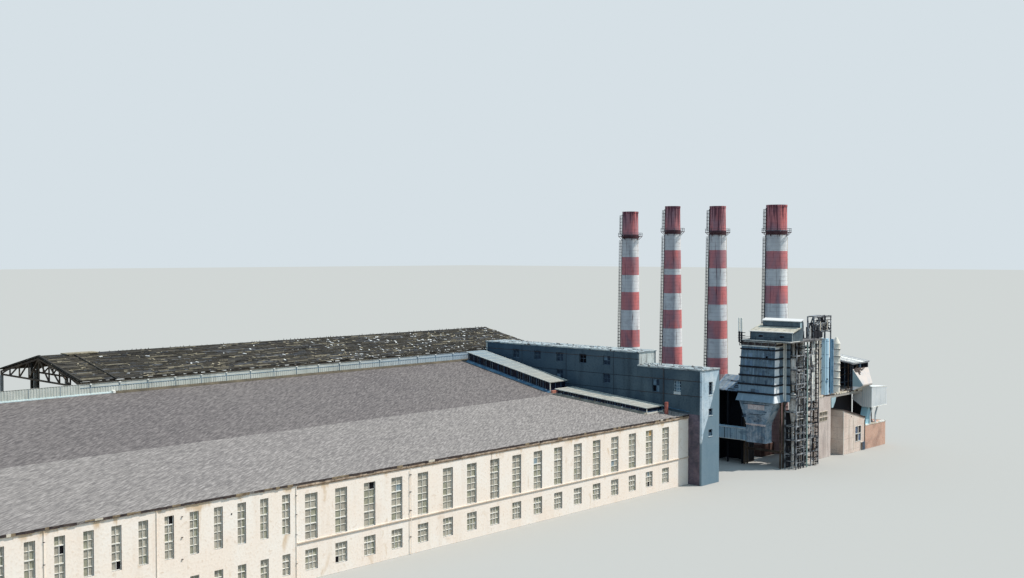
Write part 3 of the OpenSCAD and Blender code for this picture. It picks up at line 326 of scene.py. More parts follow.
def makePiece(name, bm, finishes, replaced=()):
    bmesh.ops.transform(bm, matrix=site, verts=bm.verts)
    mesh = bpy.data.meshes.new(name)
    bm.to_mesh(mesh)
    bm.free()
    for finish in finishes:
        mesh.materials.append(finish.material)
    piece = bpy.data.objects.new(name, mesh)
    scene.collection.objects.link(piece)
    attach(piece, "root")
    if replaced:
        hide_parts(*replaced)


# camera, lamps, floor and background
view = toned(tilt=88.3107, turn=-46.7385, lens=40.48, sunPower=4.3, sunSpread=0.8, skyPower=0.82, floorSize=400,
             backColour=(214, 224, 230), floorColour=(168, 168, 163), yardColour=(122, 112, 96))
view |= {"place": (-13.354, -18.032, 5.171), "sunTo": (0.73, -0.683, 1.6), "sunColour": (1.0, 0.925, 0.86),
         "skyColour": (0.57, 0.79, 1.0, 1)}
camera = bpy.data.objects.new("camera", bpy.data.cameras.new("camera"))
scene.collection.objects.link(camera)
camera.location = view["place"]
camera.rotation_euler = (math.radians(view["tilt"]), 0, math.radians(view["turn"]))
camera.data.sensor_width, camera.data.lens = 36, view["lens"]
camera.data.clip_end = 1000
scene.camera = camera

sun = bpy.data.objects.new("sun", bpy.data.lights.new("sun", "SUN"))
scene.collection.objects.link(sun)
sun.rotation_euler = Vector(view["sunTo"]).to_track_quat("Z", "Y").to_euler()
sun.data.energy, sun.data.angle = view["sunPower"], math.radians(view["sunSpread"])
sun.data.color = view["sunColour"]

world = bpy.data.worlds.new("sky")
scene.world = world
world.use_nodes = True
worldNodes, worldLinks = world.node_tree.nodes, world.node_tree.links
worldNodes.clear()
lightSky = worldNodes.new("ShaderNodeBackground")
lightSky.inputs[0].default_value, lightSky.inputs[1].default_value = view["skyColour"], view["skyPower"]
plainBack = worldNodes.new("ShaderNodeBackground")
plainBack.inputs[0].default_value = view["backColour"]
rays = worldNodes.new("ShaderNodeLightPath")
eitherRay = worldNodes.new("ShaderNodeMath")
eitherRay.operation = "MAXIMUM"
skyMix = worldNodes.new("ShaderNodeMixShader")
worldOut = worldNodes.new("ShaderNodeOutputWorld")
for start, end in ((rays.outputs["Is Camera Ray"], eitherRay.inputs[0]),
                   (rays.outputs["Is Transmission Ray"], eitherRay.inputs[1]),
                   (eitherRay.outputs[0], skyMix.inputs[0]), (lightSky.outputs[0], skyMix.inputs[1]),
                   (plainBack.outputs[0], skyMix.inputs[2]), (skyMix.outputs[0], worldOut.inputs["Surface"])):
    worldLinks.new(start, end)

# the floor looks pale, but throws as little light up at the walls as a yard does
floorMesh = bmesh.new()
bmesh.ops.create_grid(floorMesh, x_segments=1, y_segments=1, size=view["floorSize"])
floor = bpy.data.objects.new("floor", bpy.data.meshes.new("floor"))
floorMesh.to_mesh(floor.data)
floorMesh.free()
floor.location.z = -0.002
scene.collection.objects.link(floor)
floorFinish = Finish("studioFloor", 0.95, specular=0.0)
floorFinish.paint(view["floorColour"])
yardShade = floorFinish.add("BsdfDiffuse", {"Color": view["yardColour"]}).outputs[0]
floorRays = floorFinish.add("LightPath").outputs["Is Camera Ray"]
floorMix = floorFinish.add("MixShader", {0: floorRays, 1: yardShade, 2: floorFinish.shader.outputs[0]})
floorFinish.add("OutputMaterial", {"Surface": floorMix.outputs[0]}).is_active_output = True
floor.data.materials.append(floorFinish.material)
floor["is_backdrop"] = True
print("camera, lamps and floor set")

# finishes of walls and structure
creamLook = shades((255, 242, 226), (255, 248, 236), (214, 188, 160), patchScale=1.3, runs=0.18, runScale=7,
                   specks=0.28, grainScale=26, relief=0.3, eaveStain=(214, 186, 148), stainLow=1.40,
                   stainHigh=1.56, reveal=(50, 48, 56))
frontWalls = ["hall_front_wall_left", "hall_front_wall_middle", "hall_front_wall_main"]
gableWalls = ["hall_gable_front", "hall_gable_rear", "hall_gable_head", "downpipes"]
for name, nodes in (("frontCream", frontWalls), ("gableCream", gableWalls)):
    render = weathered(name, creamLook)
    stain = render.noise(5, 4, stretch=(1, 1, 0.35), warp=0.8)
    stainHeight = render.span(render.axes[2], creamLook["stainLow"], creamLook["stainHigh"], -0.12, 0.16)
    render.lay(creamLook["eaveStain"], render.plus(stain, stainHeight), 0.52, 0.68, 0, 0.8)
    render.lay(creamLook["dark"], render.noise(9, 2, warp=0.5), 0.66, 0.70, 0, 0.30)
    if nodes is frontWalls:  # painted shade in the window reveals: faces more than 2 mm behind the wall face go very dark
        render.lay(creamLook["reveal"], render.siteAxis(1), 0.002, 0.004, 0, 0.9)
    dress(render, *nodes)
dress(coat("beltRender", (206, 190, 170), (222, 208, 190), (150, 128, 108), runs=0.0, patchScale=3, specks=0.4),
      "hall_belt_course")
dress(coat("rearRender", (196, 178, 158), (212, 200, 184), (120, 102, 88), runs=0.5, specks=0.5),
      "hall_rear_wall")
# the cornice's dark brown is partly stain and partly painted shade from the roof's overhang
dress(coat("darkCornice", (158, 136, 114), (210, 188, 164), (64, 52, 46), patchScale=6, runs=0.5, specks=0.6,
           grainScale=30), "hall_cornice")
dress(coat("bareConcrete", (150, 150, 146), (172, 172, 166), (96, 94, 92)), "hall_floor", "hall_upper_floor",
      "hall_columns", "hall_roof_beams", "block_floors", "nave_columns")


def roofFelt(name, look):
    # crinkled felt: long narrow folds that all run one way, over broad tone changes
    finish = Finish(name, 0.92, specular=0.15)
    broad = finish.noise(0.35, 4, warp=0.5)
    scale, turn = look["foldScale"], look["foldTurn"]
    folds = finish.noise(scale, 2, stretch=(look["foldLength"], 1, 1), warp=0.45, turn=turn)
    fine = finish.noise(scale * 2.3, 2, stretch=(0.3, 1, 1), turn=turn)
    finish.paint(finish.mix(finish.span(broad, 0.35, 0.65), look["base"], look["pale"]))
    # painted shade in the fold hollows and painted highlights on the crests, from the same pattern as the
    # relief
    finish.lay(look["dark"], folds, 0.36, 0.52, 0.75, 0)
    finish.lay(look["light"], folds, 0.54, 0.68, 0, 0.75)
    finish.lay(look["light"], fine, 0.5, 0.7, 0, 0.25)
    finish.relief(folds, look["relief"], 0.03)
    return finish


foldLook = {"foldScale": 33, "foldLength": 0.17, "foldTurn": 33, "relief": 0.3}
lowFelt = shades((127, 122, 118), (133, 128, 123), (98, 94, 92), light=(160, 154, 149))
highFelt = shades((102, 97, 95), (108, 103, 100), (76, 72, 72), light=(130, 124, 121))
dress(roofFelt("paleRoofFelt", foldLook | lowFelt), "hall_roof_lower")
dress(roofFelt("darkRoofFelt", foldLook | highFelt), "hall_roof_upper")

# the block: slate panels with dark joints, brick at its foot, and a pale render on its front
# the panels' dark slate blue is partly their own colour and partly painted shade of the block's shaded side
panelLook = shades((58, 76, 88), (82, 98, 106), (36, 48, 58), patchScale=1.1, runs=0.55, runScale=5, specks=0.4,
                   grainScale=24, farTone=(36, 62, 84), farStart=1.4, farEnd=6.0)
panelLines = toned(width=0.014, pitch=1.484, colour=(16, 22, 32)) | {"levels": (2.735, 2.333, 1.999)}
footLook = toned(top=1.59, brick=(104, 92, 104), second=(126, 112, 120), mortar=(84, 80, 94))


def brickWork(finish, look, width=0.026, row=0.0125):
    across = finish.plus(finish.axes[0], finish.axes[1])
    wall = finish.add("CombineXYZ", {0: across, 1: finish.axes[2]}).outputs[0]
    return finish.add("TexBrick", {"Vector": wall, "Color1": look["brick"], "Color2": look["second"],
                                   "Mortar": look["mortar"], "Scale": 1.0, "Mortar Size": row / 9,
                                   "Brick Width": width, "Row Height": row}).outputs


panels = weathered("bluePanels", panelLook)
panels.lay(panelLook["farTone"], panels.siteAxis(1), panelLook["farStart"], panelLook["farEnd"], 0, 0.6)
lines = panels.stripes(1, panelLines["pitch"], panelLines["width"], 0.42)
for level in panelLines["levels"]:
    joint = panels.maths("COMPARE", panels.axes[2], level, panelLines["width"] / 2)
    lines = panels.maths("MAXIMUM", lines, joint)
panels.lay(panelLines["colour"], panels.times(lines, 0.8))
bricks = brickWork(panels, footLook, 0.052, 0.025)["Color"]
grime = panels.span(panels.noise(4, 4, warp=0.7), 0.4, 0.65, 0, 0.55)
foot = panels.below(panels.axes[2], footLook["top"], 0.004)
panels.lay(panels.mix(grime, bricks, panelLook["dark"]), foot)
panels.relief(panels.times(lines, -1), 0.5, 0.006)
dress(panels, "block_hall_wall", "block_yard_wall")

# pale render, with a painted shadow below a line that climbs from the foot of the left edge to the top right
frontLook = shades((178, 200, 212), (206, 220, 226), (112, 132, 142), patchScale=3.2, runs=0.5, specks=0.5,
                   grainScale=30, damp=(102, 128, 142), edgeRise=2.31, edgeFoot=0.97)
front = weathered("frontRender", frontLook)
across = front.siteAxis(0, nodeBox("block_front_wall")[0].x)
edge = front.plus(front.times(across, frontLook["edgeRise"]), frontLook["edgeFoot"])
ragged = front.span(front.noise(5, 3), 0, 1, -0.1, 0.1)
depth = front.maths("SUBTRACT", front.plus(edge, ragged), front.axes[2])
front.lay(frontLook["damp"], depth, -0.02, 0.03, 0, 0.9)
dress(front, "block_front_wall")
dress(coat("stepRender", (182, 188, 184), (204, 208, 202), (90, 88, 84), patchScale=3, runs=0.85, runScale=16,
           specks=0.45, grainScale=22), "block_cross_walls")

blockRoofLook = shades((146, 158, 160), (178, 188, 187), (80, 82, 86), patchScale=2.2, runs=0.0, specks=0.5,
                       grainScale=9, wet=(124, 148, 160))
blockFelt = weathered("blockFelt", blockRoofLook)
blockFelt.lay(blockRoofLook["wet"], blockFelt.noise(1.6, 3, stretch=(2.5, 0.6, 1), warp=0.8), 0.5, 0.62, 0, 0.7)
ridges = blockFelt.noise(3.6, 3, stretch=(2.8, 0.5, 1), warp=1.2, turn=25)
blockFelt.lay(blockRoofLook["dark"], ridges, 0.53, 0.59, 0, 0.85)
dress(blockFelt, "block_roofs")
print("walls and roofs finished")

# chimneys: red and white bands, soot runs at the mouth, faint lift joints
bandLook = toned(red=(226, 134, 130), redAge=(196, 124, 128), white=(238, 240, 238), foot=(206, 172, 168),
                 grime=(150, 156, 160), soot=(84, 50, 62), sootSide=(96, 92, 108), sideShare=0.42, top=7.0,
                 mouthLow=5.6, mouthHigh=6.5)
bandTops = {
    "chimney_1": (1.98, 2.49, 3.002, 3.561, 4.078, 4.578, 5.097, 5.64),
    "chimney_2": (2.06, 2.58, 3.116, 3.627, 4.086, 4.604, 4.759, 5.285, 5.83),
    "chimney_3": (1.932, 2.361, 2.875, 3.381, 3.815, 4.319, 4.807, 5.281, 5.82),
    "chimney_4": (1.95, 2.46, 2.95, 3.42, 3.884, 4.364, 4.798, 5.277, 5.81),
}
stackX = sum(point.x for point in nodeBox("chimney_1")) / 2
for name, tops in bandTops.items():
    finish = Finish(name + "Bands", 0.88, specular=0.2)
    colours = [bandLook["white" if (len(tops) - i) % 2 else "red"] for i in range(len(tops) + 1)]
    colours[0] = bandLook["foot"]
    stops = [(z / bandLook["top"], colour) for z, colour in zip((0, *tops), colours)]
    wobble = finish.span(finish.noise(14, 2), 0, 1, -0.0009, 0.0009)
    height = finish.plus(finish.maths("DIVIDE", finish.axes[2], bandLook["top"]), wobble)
    finish.paint(finish.steps(height, stops))
    isRed = finish.steps(height, [(place, (1, 1, 1, 1) if shade == bandLook["red"] else (0, 0, 0, 1))
                                  for place, shade in stops])
    fade = finish.noise(3.4, 4, stretch=(1, 1, 0.4), warp=0.6)
    finish.lay(finish.mix(finish.span(fade, 0.40, 0.62), bandLook["red"], bandLook["redAge"]), isRed)
    finish.lay(bandLook["grime"], fade, 0.46, 0.70, 0, 0.36)
    finish.lay(bandLook["soot"], finish.noise(5, 3, stretch=(1, 1, 2.4)), 0.58, 0.64, 0, 0.16)
    # painted shade: the side turned away from the sun is darkened, with an edge that wanders a little
    stackY = sum(point.y for point in nodeBox(name)) / 2
    aside = finish.maths("SUBTRACT", finish.siteAxis(0, stackX), finish.siteAxis(1, stackY))
    aside = finish.plus(aside, finish.times(finish.noise(3, 3), 0.05))
    finish.lay(bandLook["sootSide"], aside, 0.02, 0.10, bandLook["sideShare"], 0)
    runs = finish.noise(26, 3, stretch=(1, 1, 0.05))
    mouth = finish.span(finish.axes[2], bandLook["mouthLow"], bandLook["mouthHigh"], 0.0, 0.22)
    finish.lay(bandLook["soot"], finish.plus(runs, mouth), 0.60, 0.74, 0, 0.9)
    lifts = finish.stripes(2, 0.1, 0.012)
    finish.lay(bandLook["soot"], finish.times(lifts, 0.2))
    finish.relief(finish.noise(60, 3), 0.2, 0.006)
    finish.relief(finish.times(lifts, -1), 0.3, 0.004)
    dress(finish, name)

gallerySteel = coat("gallerySteel", (78, 52, 60), (96, 68, 72), (40, 26, 34), rough=0.75, patchScale=5)
ladderSteel = coat("ladderSteel", (28, 36, 44), (52, 62, 70), (16, 20, 26), rough=0.75, patchScale=12, runs=0.3)
rustySteel = coat("rustySteel", (62, 52, 46), (104, 90, 74), (26, 22, 22), patchScale=4, specks=0.5)
dress(rustySteel, "nave_trusses", "nave_purlins", "tower_legs")
rackLook = shades((50, 54, 62), (178, 182, 184), (22, 24, 30), rough=0.75, patchScale=7, specks=0.55)
rackSteel = weathered("rackSteel", rackLook)
standSteel = weathered("standSteel", rackLook)
beneath = standSteel.span(standSteel.axes[2], 3.02, 3.03, 1, 0)
for place, paint in ((21353, (216, 206, 186)), (21645, (180, 214, 230)), (21936, (96, 134, 160))):
    across = standSteel.siteAxis(0, place)
    post = standSteel.times(standSteel.above(across, -0.010), standSteel.maths("LESS_THAN", across, 0.036))
    standSteel.lay(tint(*paint), standSteel.times(post, beneath))
dress(standSteel, "pipe_rack")
paleLagging = coat("paleLagging", (196, 192, 184), (226, 224, 218), (72, 62, 60), patchScale=6, runs=0.6,
                   specks=0.7, grainScale=20, rough=0.8)
dress(paleLagging, "cyclones")

brickLook = toned(brick=(214, 168, 144), second=(196, 146, 126), mortar=(222, 206, 186), grime=(120, 96, 92))
yardBrick = Finish("yardBrick", 0.9, specular=0.2)
bricks = brickWork(yardBrick, brickLook)
yardBrick.paint(bricks["Color"])
yardBrick.lay(brickLook["grime"], yardBrick.noise(2.6, 5, warp=0.6), 0.45, 0.7, 0, 0.5)
yardBrick.relief(bricks["Fac"], -0.4, 0.004)
dress(yardBrick, "brick_house")
# the flues' dark brown brick is partly painted shade beneath the tower
dress(coat("flueBrick", (92, 72, 68), (116, 92, 84), (48, 38, 40), patchScale=3, specks=0.5), "flues")

# the tower: slate sheets with pale streaks, dark lines at each stiffener that are partly painted shade beneath
# it, a brighter foot, and painted sunlight on the front's left strip
casingLook = shades((86, 106, 120), (120, 138, 148), (44, 56, 68), rough=0.6, patchScale=3.0, runs=0.6,
                    runScale=20, runStretch=0.05, specks=0.3, streak=(158, 182, 200), foot=(150, 178, 196),
                    line=(8, 10, 16), lit=(246, 250, 250))
casingLines = {"start": 1.806, "pitch": 0.212, "width": 0.046, "footTop": 2.02, "front": -0.562,
               "litEnd": 19400}


def towerSheet(name, look):
    finish = weathered(name, look)
    finish.lay(look["streak"], finish.noise(34, 2, stretch=(1, 1, 0.06)), 0.56, 0.70, 0, 0.55)
    finish.lay(look["dark"], finish.noise(3.2, 3, stretch=(1, 1, 1.6), warp=0.8), 0.56, 0.66, 0, 0.5)
    return finish


casing = towerSheet("casingSheet", casingLook)
footTop, face = casingLines["footTop"], casingLines["front"]
casing.lay(casingLook["foot"], casing.axes[2], footTop - 0.002, footTop + 0.002, 0.55, 0)
lines = casing.stripes(2, casingLines["pitch"], casingLines["width"], casingLines["start"] - 0.010)
lines = casing.times(lines, casing.above(casing.axes[2], 1.79))
# painted sunlight: the front face turns near white left of a ragged edge at x 19400, where the deck's shade
# falls
edge = casing.plus(casing.siteAxis(0, casingLines["litEnd"]), casing.times(casing.noise(9, 2), 0.1))
litFront = casing.span(casing.siteAxis(1), face, face + 0.002, 0.92, 0)
casing.lay(casingLook["lit"], casing.times(litFront, casing.below(edge, 0.05, 0.005)))
# painted shade: a very dark line at each stiffener
casing.lay(casingLook["line"], casing.times(lines, 0.9))
dress(casing, "tower_casing")
hopperLook = shades((116, 142, 160), (184, 196, 204), (48, 56, 70), runs=0.4, patchScale=6, specks=0.6)
dress(towerSheet("hopperSheet", casingLook | hopperLook), "tower_hopper")
ductLook = shades((152, 184, 202), (162, 186, 198), (72, 92, 110))
dress(towerSheet("ductSheet", casingLook | ductLook), "gas_duct")
dress(coat("penthouseSheet", (76, 92, 102), (98, 112, 118), (36, 44, 52), patchScale=4, specks=0.4, rough=0.7),
      "penthouse_walls")

linkLook = shades((112, 124, 134), (150, 162, 168), (44, 54, 66), patchScale=6, runs=0.0, specks=0.5,
                  grainScale=14, inside=(14, 20, 28), skin=0.006)
linkSheet = weathered("linkSheet", linkLook)
linkLow, linkHigh = nodeBox("link_roof")
linkTop = {"foot": 1.800, "rise": 0.320}  # the roof's low edge and its rise across the house
# painted shade: everything below the roof's top surface is very dark
across = linkSheet.maths("DIVIDE", linkSheet.siteAxis(0, linkLow.x), (linkHigh.x - linkLow.x) / 1000)
surface = linkSheet.plus(linkSheet.times(across, linkTop["rise"]), linkTop["foot"] - linkLook["skin"])
linkSheet.lay(linkLook["inside"], linkSheet.maths("LESS_THAN", linkSheet.axes[2], surface))
dress(linkSheet, "link_roof")

upperRoofLevel = 3.48
roofLook = shades((168, 164, 150), (196, 192, 176), (96, 98, 84), rough=0.8, patchScale=5, runs=0.0, specks=0.7,
                  grainScale=18, clean=(208, 208, 204))
topSheet = weathered("topSheet", roofLook)
clean = topSheet.maths("GREATER_THAN", topSheet.axes[2], upperRoofLevel)
lip = topSheet.maths("LESS_THAN", topSheet.siteAxis(0, nodeBox("penthouse_roofs")[0].x), 0.02)
topSheet.lay(roofLook["clean"], topSheet.maths("MAXIMUM", clean, lip))
dress(topSheet, "penthouse_roofs")
dress(coat("deckSteel", (84, 84, 86), (128, 126, 122), (40, 38, 42), patchScale=8, runs=0.5, specks=0.6),
      "tower_deck")

lanternRoofLook = shades((146, 146, 138), (160, 160, 150), (98, 102, 102), rough=0.6, patchScale=2.2, runs=0.0,
                         specks=0.5, farTone=(110, 130, 140))
lanternSheet = weathered("lanternSheet", lanternRoofLook)
lanternSheet.lay(lanternRoofLook["farTone"], lanternSheet.siteAxis(1), 3.6, 6.0, 0, 0.75)
dress(lanternSheet, "front_lantern_roof", "rear_lantern_roof")
dress(coat("lanternSteel", (40, 58, 80), (64, 88, 112), (20, 28, 44), rough=0.6, patchScale=5),
      "front_lantern_frame", "rear_lantern_frame")
dress(glazing("darkGlass", (10, 12, 26), (26, 30, 46), 0.5, 0.2), "front_lantern_glass", "rear_lantern_glass")

# the hood: white sheet, with a duller chute above it, painted shade on the chute's left side, and a blue spout
# at its foot
hoodLook = shades((216, 222, 224), (230, 234, 234), (158, 172, 180), rough=0.55, patchScale=2.4, runs=0.35,
                  runScale=14, specks=0.25, spout=(164, 206, 218), chute=(204, 194, 184), side=(136, 166, 176),
                  chuteFrom=1.700, sideEnd=23150, spoutTop=1.105, spoutBack=-0.722)
hoodSheet = weathered("whiteSheet", hoodLook)
ages = hoodSheet.noise(7, 4, stretch=(1, 1, 0.5), warp=0.6)
chuteColour = hoodSheet.mix(hoodSheet.span(ages, 0.45, 0.65, 0, 0.4), hoodLook["chute"], hoodLook["dark"])
chuteSide = hoodSheet.maths("LESS_THAN", hoodSheet.siteAxis(0, hoodLook["sideEnd"]), 0)
chuteColour = hoodSheet.mix(chuteSide, chuteColour, hoodLook["side"])
isSpout = hoodSheet.span(hoodSheet.axes[2], hoodLook["spoutTop"] - 0.005, hoodLook["spoutTop"], 1, 0)
isFront = hoodSheet.above(hoodSheet.siteAxis(1), hoodLook["spoutBack"])
hoodSheet.lay(hoodLook["spout"], hoodSheet.times(isSpout, isFront))
hoodSheet.lay(chuteColour, hoodSheet.above(hoodSheet.axes[2], hoodLook["chuteFrom"]))
dress(hoodSheet, "loading_hood")

# the shafts: the middle one blue, and the first one torn in its lower part, its tears and holes very dark as
# painted shade
shaftLook = shades((226, 222, 208), (240, 236, 226), (128, 116, 104), rough=0.65, patchScale=5, runs=0.3,
                   runScale=14, specks=0.4, blue=(190, 222, 238), blueFrom=21.55, blueTo=22.1,
                   broken=(54, 48, 50), brokenTo=2.75)
shaftSheet = weathered("shaftSheet", shaftLook)
sideways = shaftSheet.siteAxis(0)
middle = shaftSheet.times(shaftSheet.above(sideways, shaftLook["blueFrom"]),
                          shaftSheet.below(sideways, shaftLook["blueTo"]))
shaftSheet.lay(shaftLook["blue"], middle)
torn = shaftSheet.maths("MAXIMUM", shaftSheet.span(shaftSheet.cracks(9, (1, 1, 0.8)), 0.02, 0.05, 0.8, 0),
                        shaftSheet.span(shaftSheet.noise(8, 3, warp=1.0), 0.56, 0.6))
lowPart = shaftSheet.span(shaftSheet.axes[2], shaftLook["brokenTo"] - 0.3, shaftLook["brokenTo"], 1, 0.25)
first = shaftSheet.below(sideways, shaftLook["blueFrom"])
shaftSheet.lay(shaftLook["broken"], shaftSheet.times(shaftSheet.times(torn, first), lowPart))
dress(shaftSheet, "shafts")

annexLook = shades((228, 208, 192), (240, 226, 212), (150, 130, 120), patchScale=2.5, specks=0.4,
                   joint=(150, 138, 130))
annexRender = weathered("annexRender", annexLook)
seams = annexRender.maths("MAXIMUM", annexRender.stripes(2, 0.300, 0.008, 0.09),
                          annexRender.stripes(0, 0.400, 0.008))
annexRender.lay(annexLook["joint"], annexRender.times(seams, 0.5))
dress(annexRender, "annex_walls", "annex_front")
dress(coat("houseRender", (204, 190, 180), (222, 210, 200), (92, 80, 80), patchScale=2.5, runs=0.6, specks=0.5),
      "shaft_house")
dress(coat("annexFelt", (120, 112, 106), (150, 142, 132), (50, 44, 44), patchScale=5, runs=0.0, specks=0.6),
      "annex_roof")

# the charging shed: grey roof, painted shade within it, pale slab, and painted shade below the slab
shedLook = shades((150, 152, 154), (168, 170, 170), (100, 100, 104), patchScale=4, runs=0.0, specks=0.5,
                  inside=(44, 48, 58), slab=(170, 166, 158), under=(58, 54, 56), roofLow=2.27, slabTop=1.591)
shedSheet = weathered("shedSheet", shedLook)
height = shedSheet.axes[2]
under = shedSheet.span(height, shedLook["roofLow"], shedLook["roofLow"] + 0.002, 1, 0)
shedSheet.lay(shedLook["inside"], shedSheet.times(shedSheet.above(height, shedLook["slabTop"]), under))
shedSheet.lay(shedLook["slab"], shedSheet.below(height, shedLook["slabTop"]))
shedSheet.lay(shedLook["under"], height, 1.498, 1.499, 1, 0)
dress(shedSheet, "charging_shed")

parapetLook = shades((190, 194, 184), (206, 208, 198), (122, 124, 116), rough=0.7, patchScale=3, runScale=14,
                     specks=0.25, farTone=(150, 172, 190))
parapetSheet = weathered("parapetSheet", parapetLook)
parapetSheet.lay(parapetLook["farTone"], parapetSheet.siteAxis(0), 11, 15.5, 0, 0.7)
dress(parapetSheet, "parapet")
print("all nodes finished")

# windows of the hall: frames, bars and panes in every opening
sashPaint = coat("sashPaint", (238, 236, 224), (248, 246, 238), (150, 140, 124), patchScale=8, runs=0.2,
                 specks=0.25, rough=0.6)
# open panes are very dark sheets: painted shade of the room behind a missing pane
paneFinishes = [glazing(*look) for look in (
    ("milkyPane", (164, 160, 146), (194, 188, 172)), ("greenPane", (146, 146, 128), (176, 174, 152)),
    ("greyPane", (150, 146, 134), (184, 178, 162)), ("bluePane", (120, 142, 152), (160, 174, 176), 0.4),
    ("amberPane", (190, 152, 96), (214, 186, 134)), ("openPane", (18, 18, 22), (34, 32, 34), 0.8, 0.1))]
paneOdds = (50, 24, 22, 1.0, 0.5, 0.8)


def addSash(bars, panes, place, width, height, look, odds=paneOdds):
    # one window, from its lower left corner: x across, y into the wall, z up; the bars stand out of the panes
    frameWidth, bar, front, back = look["frame"], look["bar"], look["front"], look["back"]
    for low, high in (((0, front, 0), (frameWidth, back, height)),
                      ((width - frameWidth, front, 0), (width, back, height)),
                      ((frameWidth, front, 0), (width - frameWidth, back, frameWidth)),
                      ((frameWidth, front, height - frameWidth), (width - frameWidth, back, height))):
        addBox(bars, low, high, place=place)
    paneWidth = (width - 2 * frameWidth) / look["columns"]
    paneHeight = (height - 2 * frameWidth) / look["rows"]
    strong = draw.choice(look["strong"])
    for i in range(1, look["columns"]):
        x = frameWidth + i * paneWidth
        addBox(bars, (x - bar / 2, front, frameWidth), (x + bar / 2, back, height - frameWidth), place=place)
    for k in range(1, look["rows"]):
        z, thick = frameWidth + k * paneHeight, look["transom"] if k in strong else bar
        out = front - look["proud"] if k in strong else front
        addBox(bars, (frameWidth, out, z - thick / 2), (width - frameWidth, back, z + thick / 2), place=place)
    for i in range(look["columns"]):
        for k in range(look["rows"]):
            x, z = frameWidth + i * paneWidth, frameWidth + k * paneHeight
            kind = pick(range(len(paneFinishes)), odds)
            tilt = between(-0.8, 0.8)
            verts = addBox(panes, (x, back - 2, z), (x + paneWidth, back, z + paneHeight), kind)
            lean = Matrix.Rotation(math.radians(tilt), 4, "X")
            centre = Matrix.Translation((x + paneWidth / 2, back - 1, z + paneHeight / 2))
            bmesh.ops.transform(panes, matrix=place @ centre @ lean @ centre.inverted(), verts=verts)


sashDepth = {"frame": 8, "bar": 7, "front": -9, "back": 3, "proud": 4}
hallSash = {
    "main": sashDepth | {"width": 246, "height": 740, "sill": 640, "columns": 2, "rows": 6,
                         "strong": ((2,), (4,), (2, 4), (4,)), "transom": 15},
    "old": sashDepth | {"width": 150, "height": 630, "sill": 798, "columns": 2, "rows": 5,
                        "strong": ((3,), (1, 3), (2, 4)), "transom": 14},
    "mainLow": sashDepth | {"width": 246, "height": 335, "sill": 150, "columns": 3, "rows": 3,
                            "strong": ((2,),), "transom": 12},
    "oldLow": sashDepth | {"width": 150, "height": 335, "sill": 150, "columns": 2, "rows": 3,
                           "strong": ((2,),), "transom": 12},
}
sashBack = 28
mainCentres = [5952 + 600 * i for i in range(17)]
oldCentres = [405 * (i + 0.5) for i in range(14)]
draw = random.Random(7)
for name, kinds, node in (("hall_sashes_upper", ("main", "old"), "hall_upper_windows"),
                          ("hall_sashes_lower", ("mainLow", "oldLow"), "hall_lower_windows")):
    bars, panes = bmesh.new(), bmesh.new()
    for kind, centres in zip(kinds, (mainCentres, oldCentres)):
        look = hallSash[kind]
        for x in centres:
            place = Matrix.Translation((x - look["width"] / 2, sashBack, look["sill"]))
            addSash(bars, panes, place, look["width"], look["height"], look)
    makePiece(name + "_bars", bars, [sashPaint], [node])
    makePiece(name + "_panes", panes, paneFinishes)
print("hall windows made")

# the hall's roof surface and its broken edge
roofHigh = nodeBox("hall_roof_lower")[1]
roofTop = nodeBox("hall_roof_upper")[1]
eaveLevel = 1578  # the roof's surface over the front face of the wall
mainStart = nodeBox("hall_front_wall_main")[0].x
hallEnd = roofHigh.x


def roofZ(y):
    if y < roofHigh.y:
        return eaveLevel + (roofHigh.z - eaveLevel) * y / roofHigh.y
    return roofHigh.z + (roofTop.z - roofHigh.z) * (y - roofHigh.y) / (roofTop.y - roofHigh.y)


# the mostly very dark edging is partly the felt's torn edge and partly painted shadow along the roof's front
# edge
edgeBlack, edgeBrown, edgePale = [coat(*look, patchScale=9, runs=0.2) for look in (
    ("edgeBlack", (56, 48, 48), (88, 76, 70), (26, 22, 26)),
    ("edgeBrown", (120, 104, 84), (160, 144, 116), (60, 50, 44)),
    ("edgePale", (206, 196, 176), (226, 218, 200), (120, 108, 92)))]
eave = {"shortest": 35, "longest": 150, "proud": 6, "least": 22, "most": 40, "lift": 3, "missing": 0.03,
        "overhang": (16, 20)}
draw = random.Random(11)
edging = bmesh.new()
for x, end in lengths(0, hallEnd, eave["shortest"], eave["longest"]):
    front = -eave["overhang"][x > mainStart]
    top = roofZ(front) + between(-eave["lift"], eave["lift"])
    kind = pick((0, 1, 2), (82, 15, 3))
    foot = top - between(eave["least"], eave["most"])
    if draw.random() > eave["missing"]:
        addBox(edging, (x, front - between(2, eave["proud"]), foot), (end, front + 2, top), kind)
makePiece("eave_edging", edging, [edgeBlack, edgeBrown, edgePale])

# brackets on the downpipes, a cable down the wall, and two small vents
fittings = bmesh.new()
clip = {"levels": (300, 760, 1080, 1380), "half": 13, "height": 9,
        "fronts": {1606: -16, 3645: -16, 5656: -16, 8052: -32}}
for x, front in clip["fronts"].items():
    for z in clip["levels"]:
        addBox(fittings, (x - clip["half"], front, z), (x + clip["half"], 1, z + clip["height"]))
addBox(fittings, (10060, -3, 640), (10065, 1, 1500))
for x, z in ((10110, 1180), (4478, 1287)):
    addBar(fittings, (x, -4, z), (x, 1, z), 26, sides=10)
makePiece("wall_fittings", fittings, [edgeBlack])
print("eave and wall fittings made")

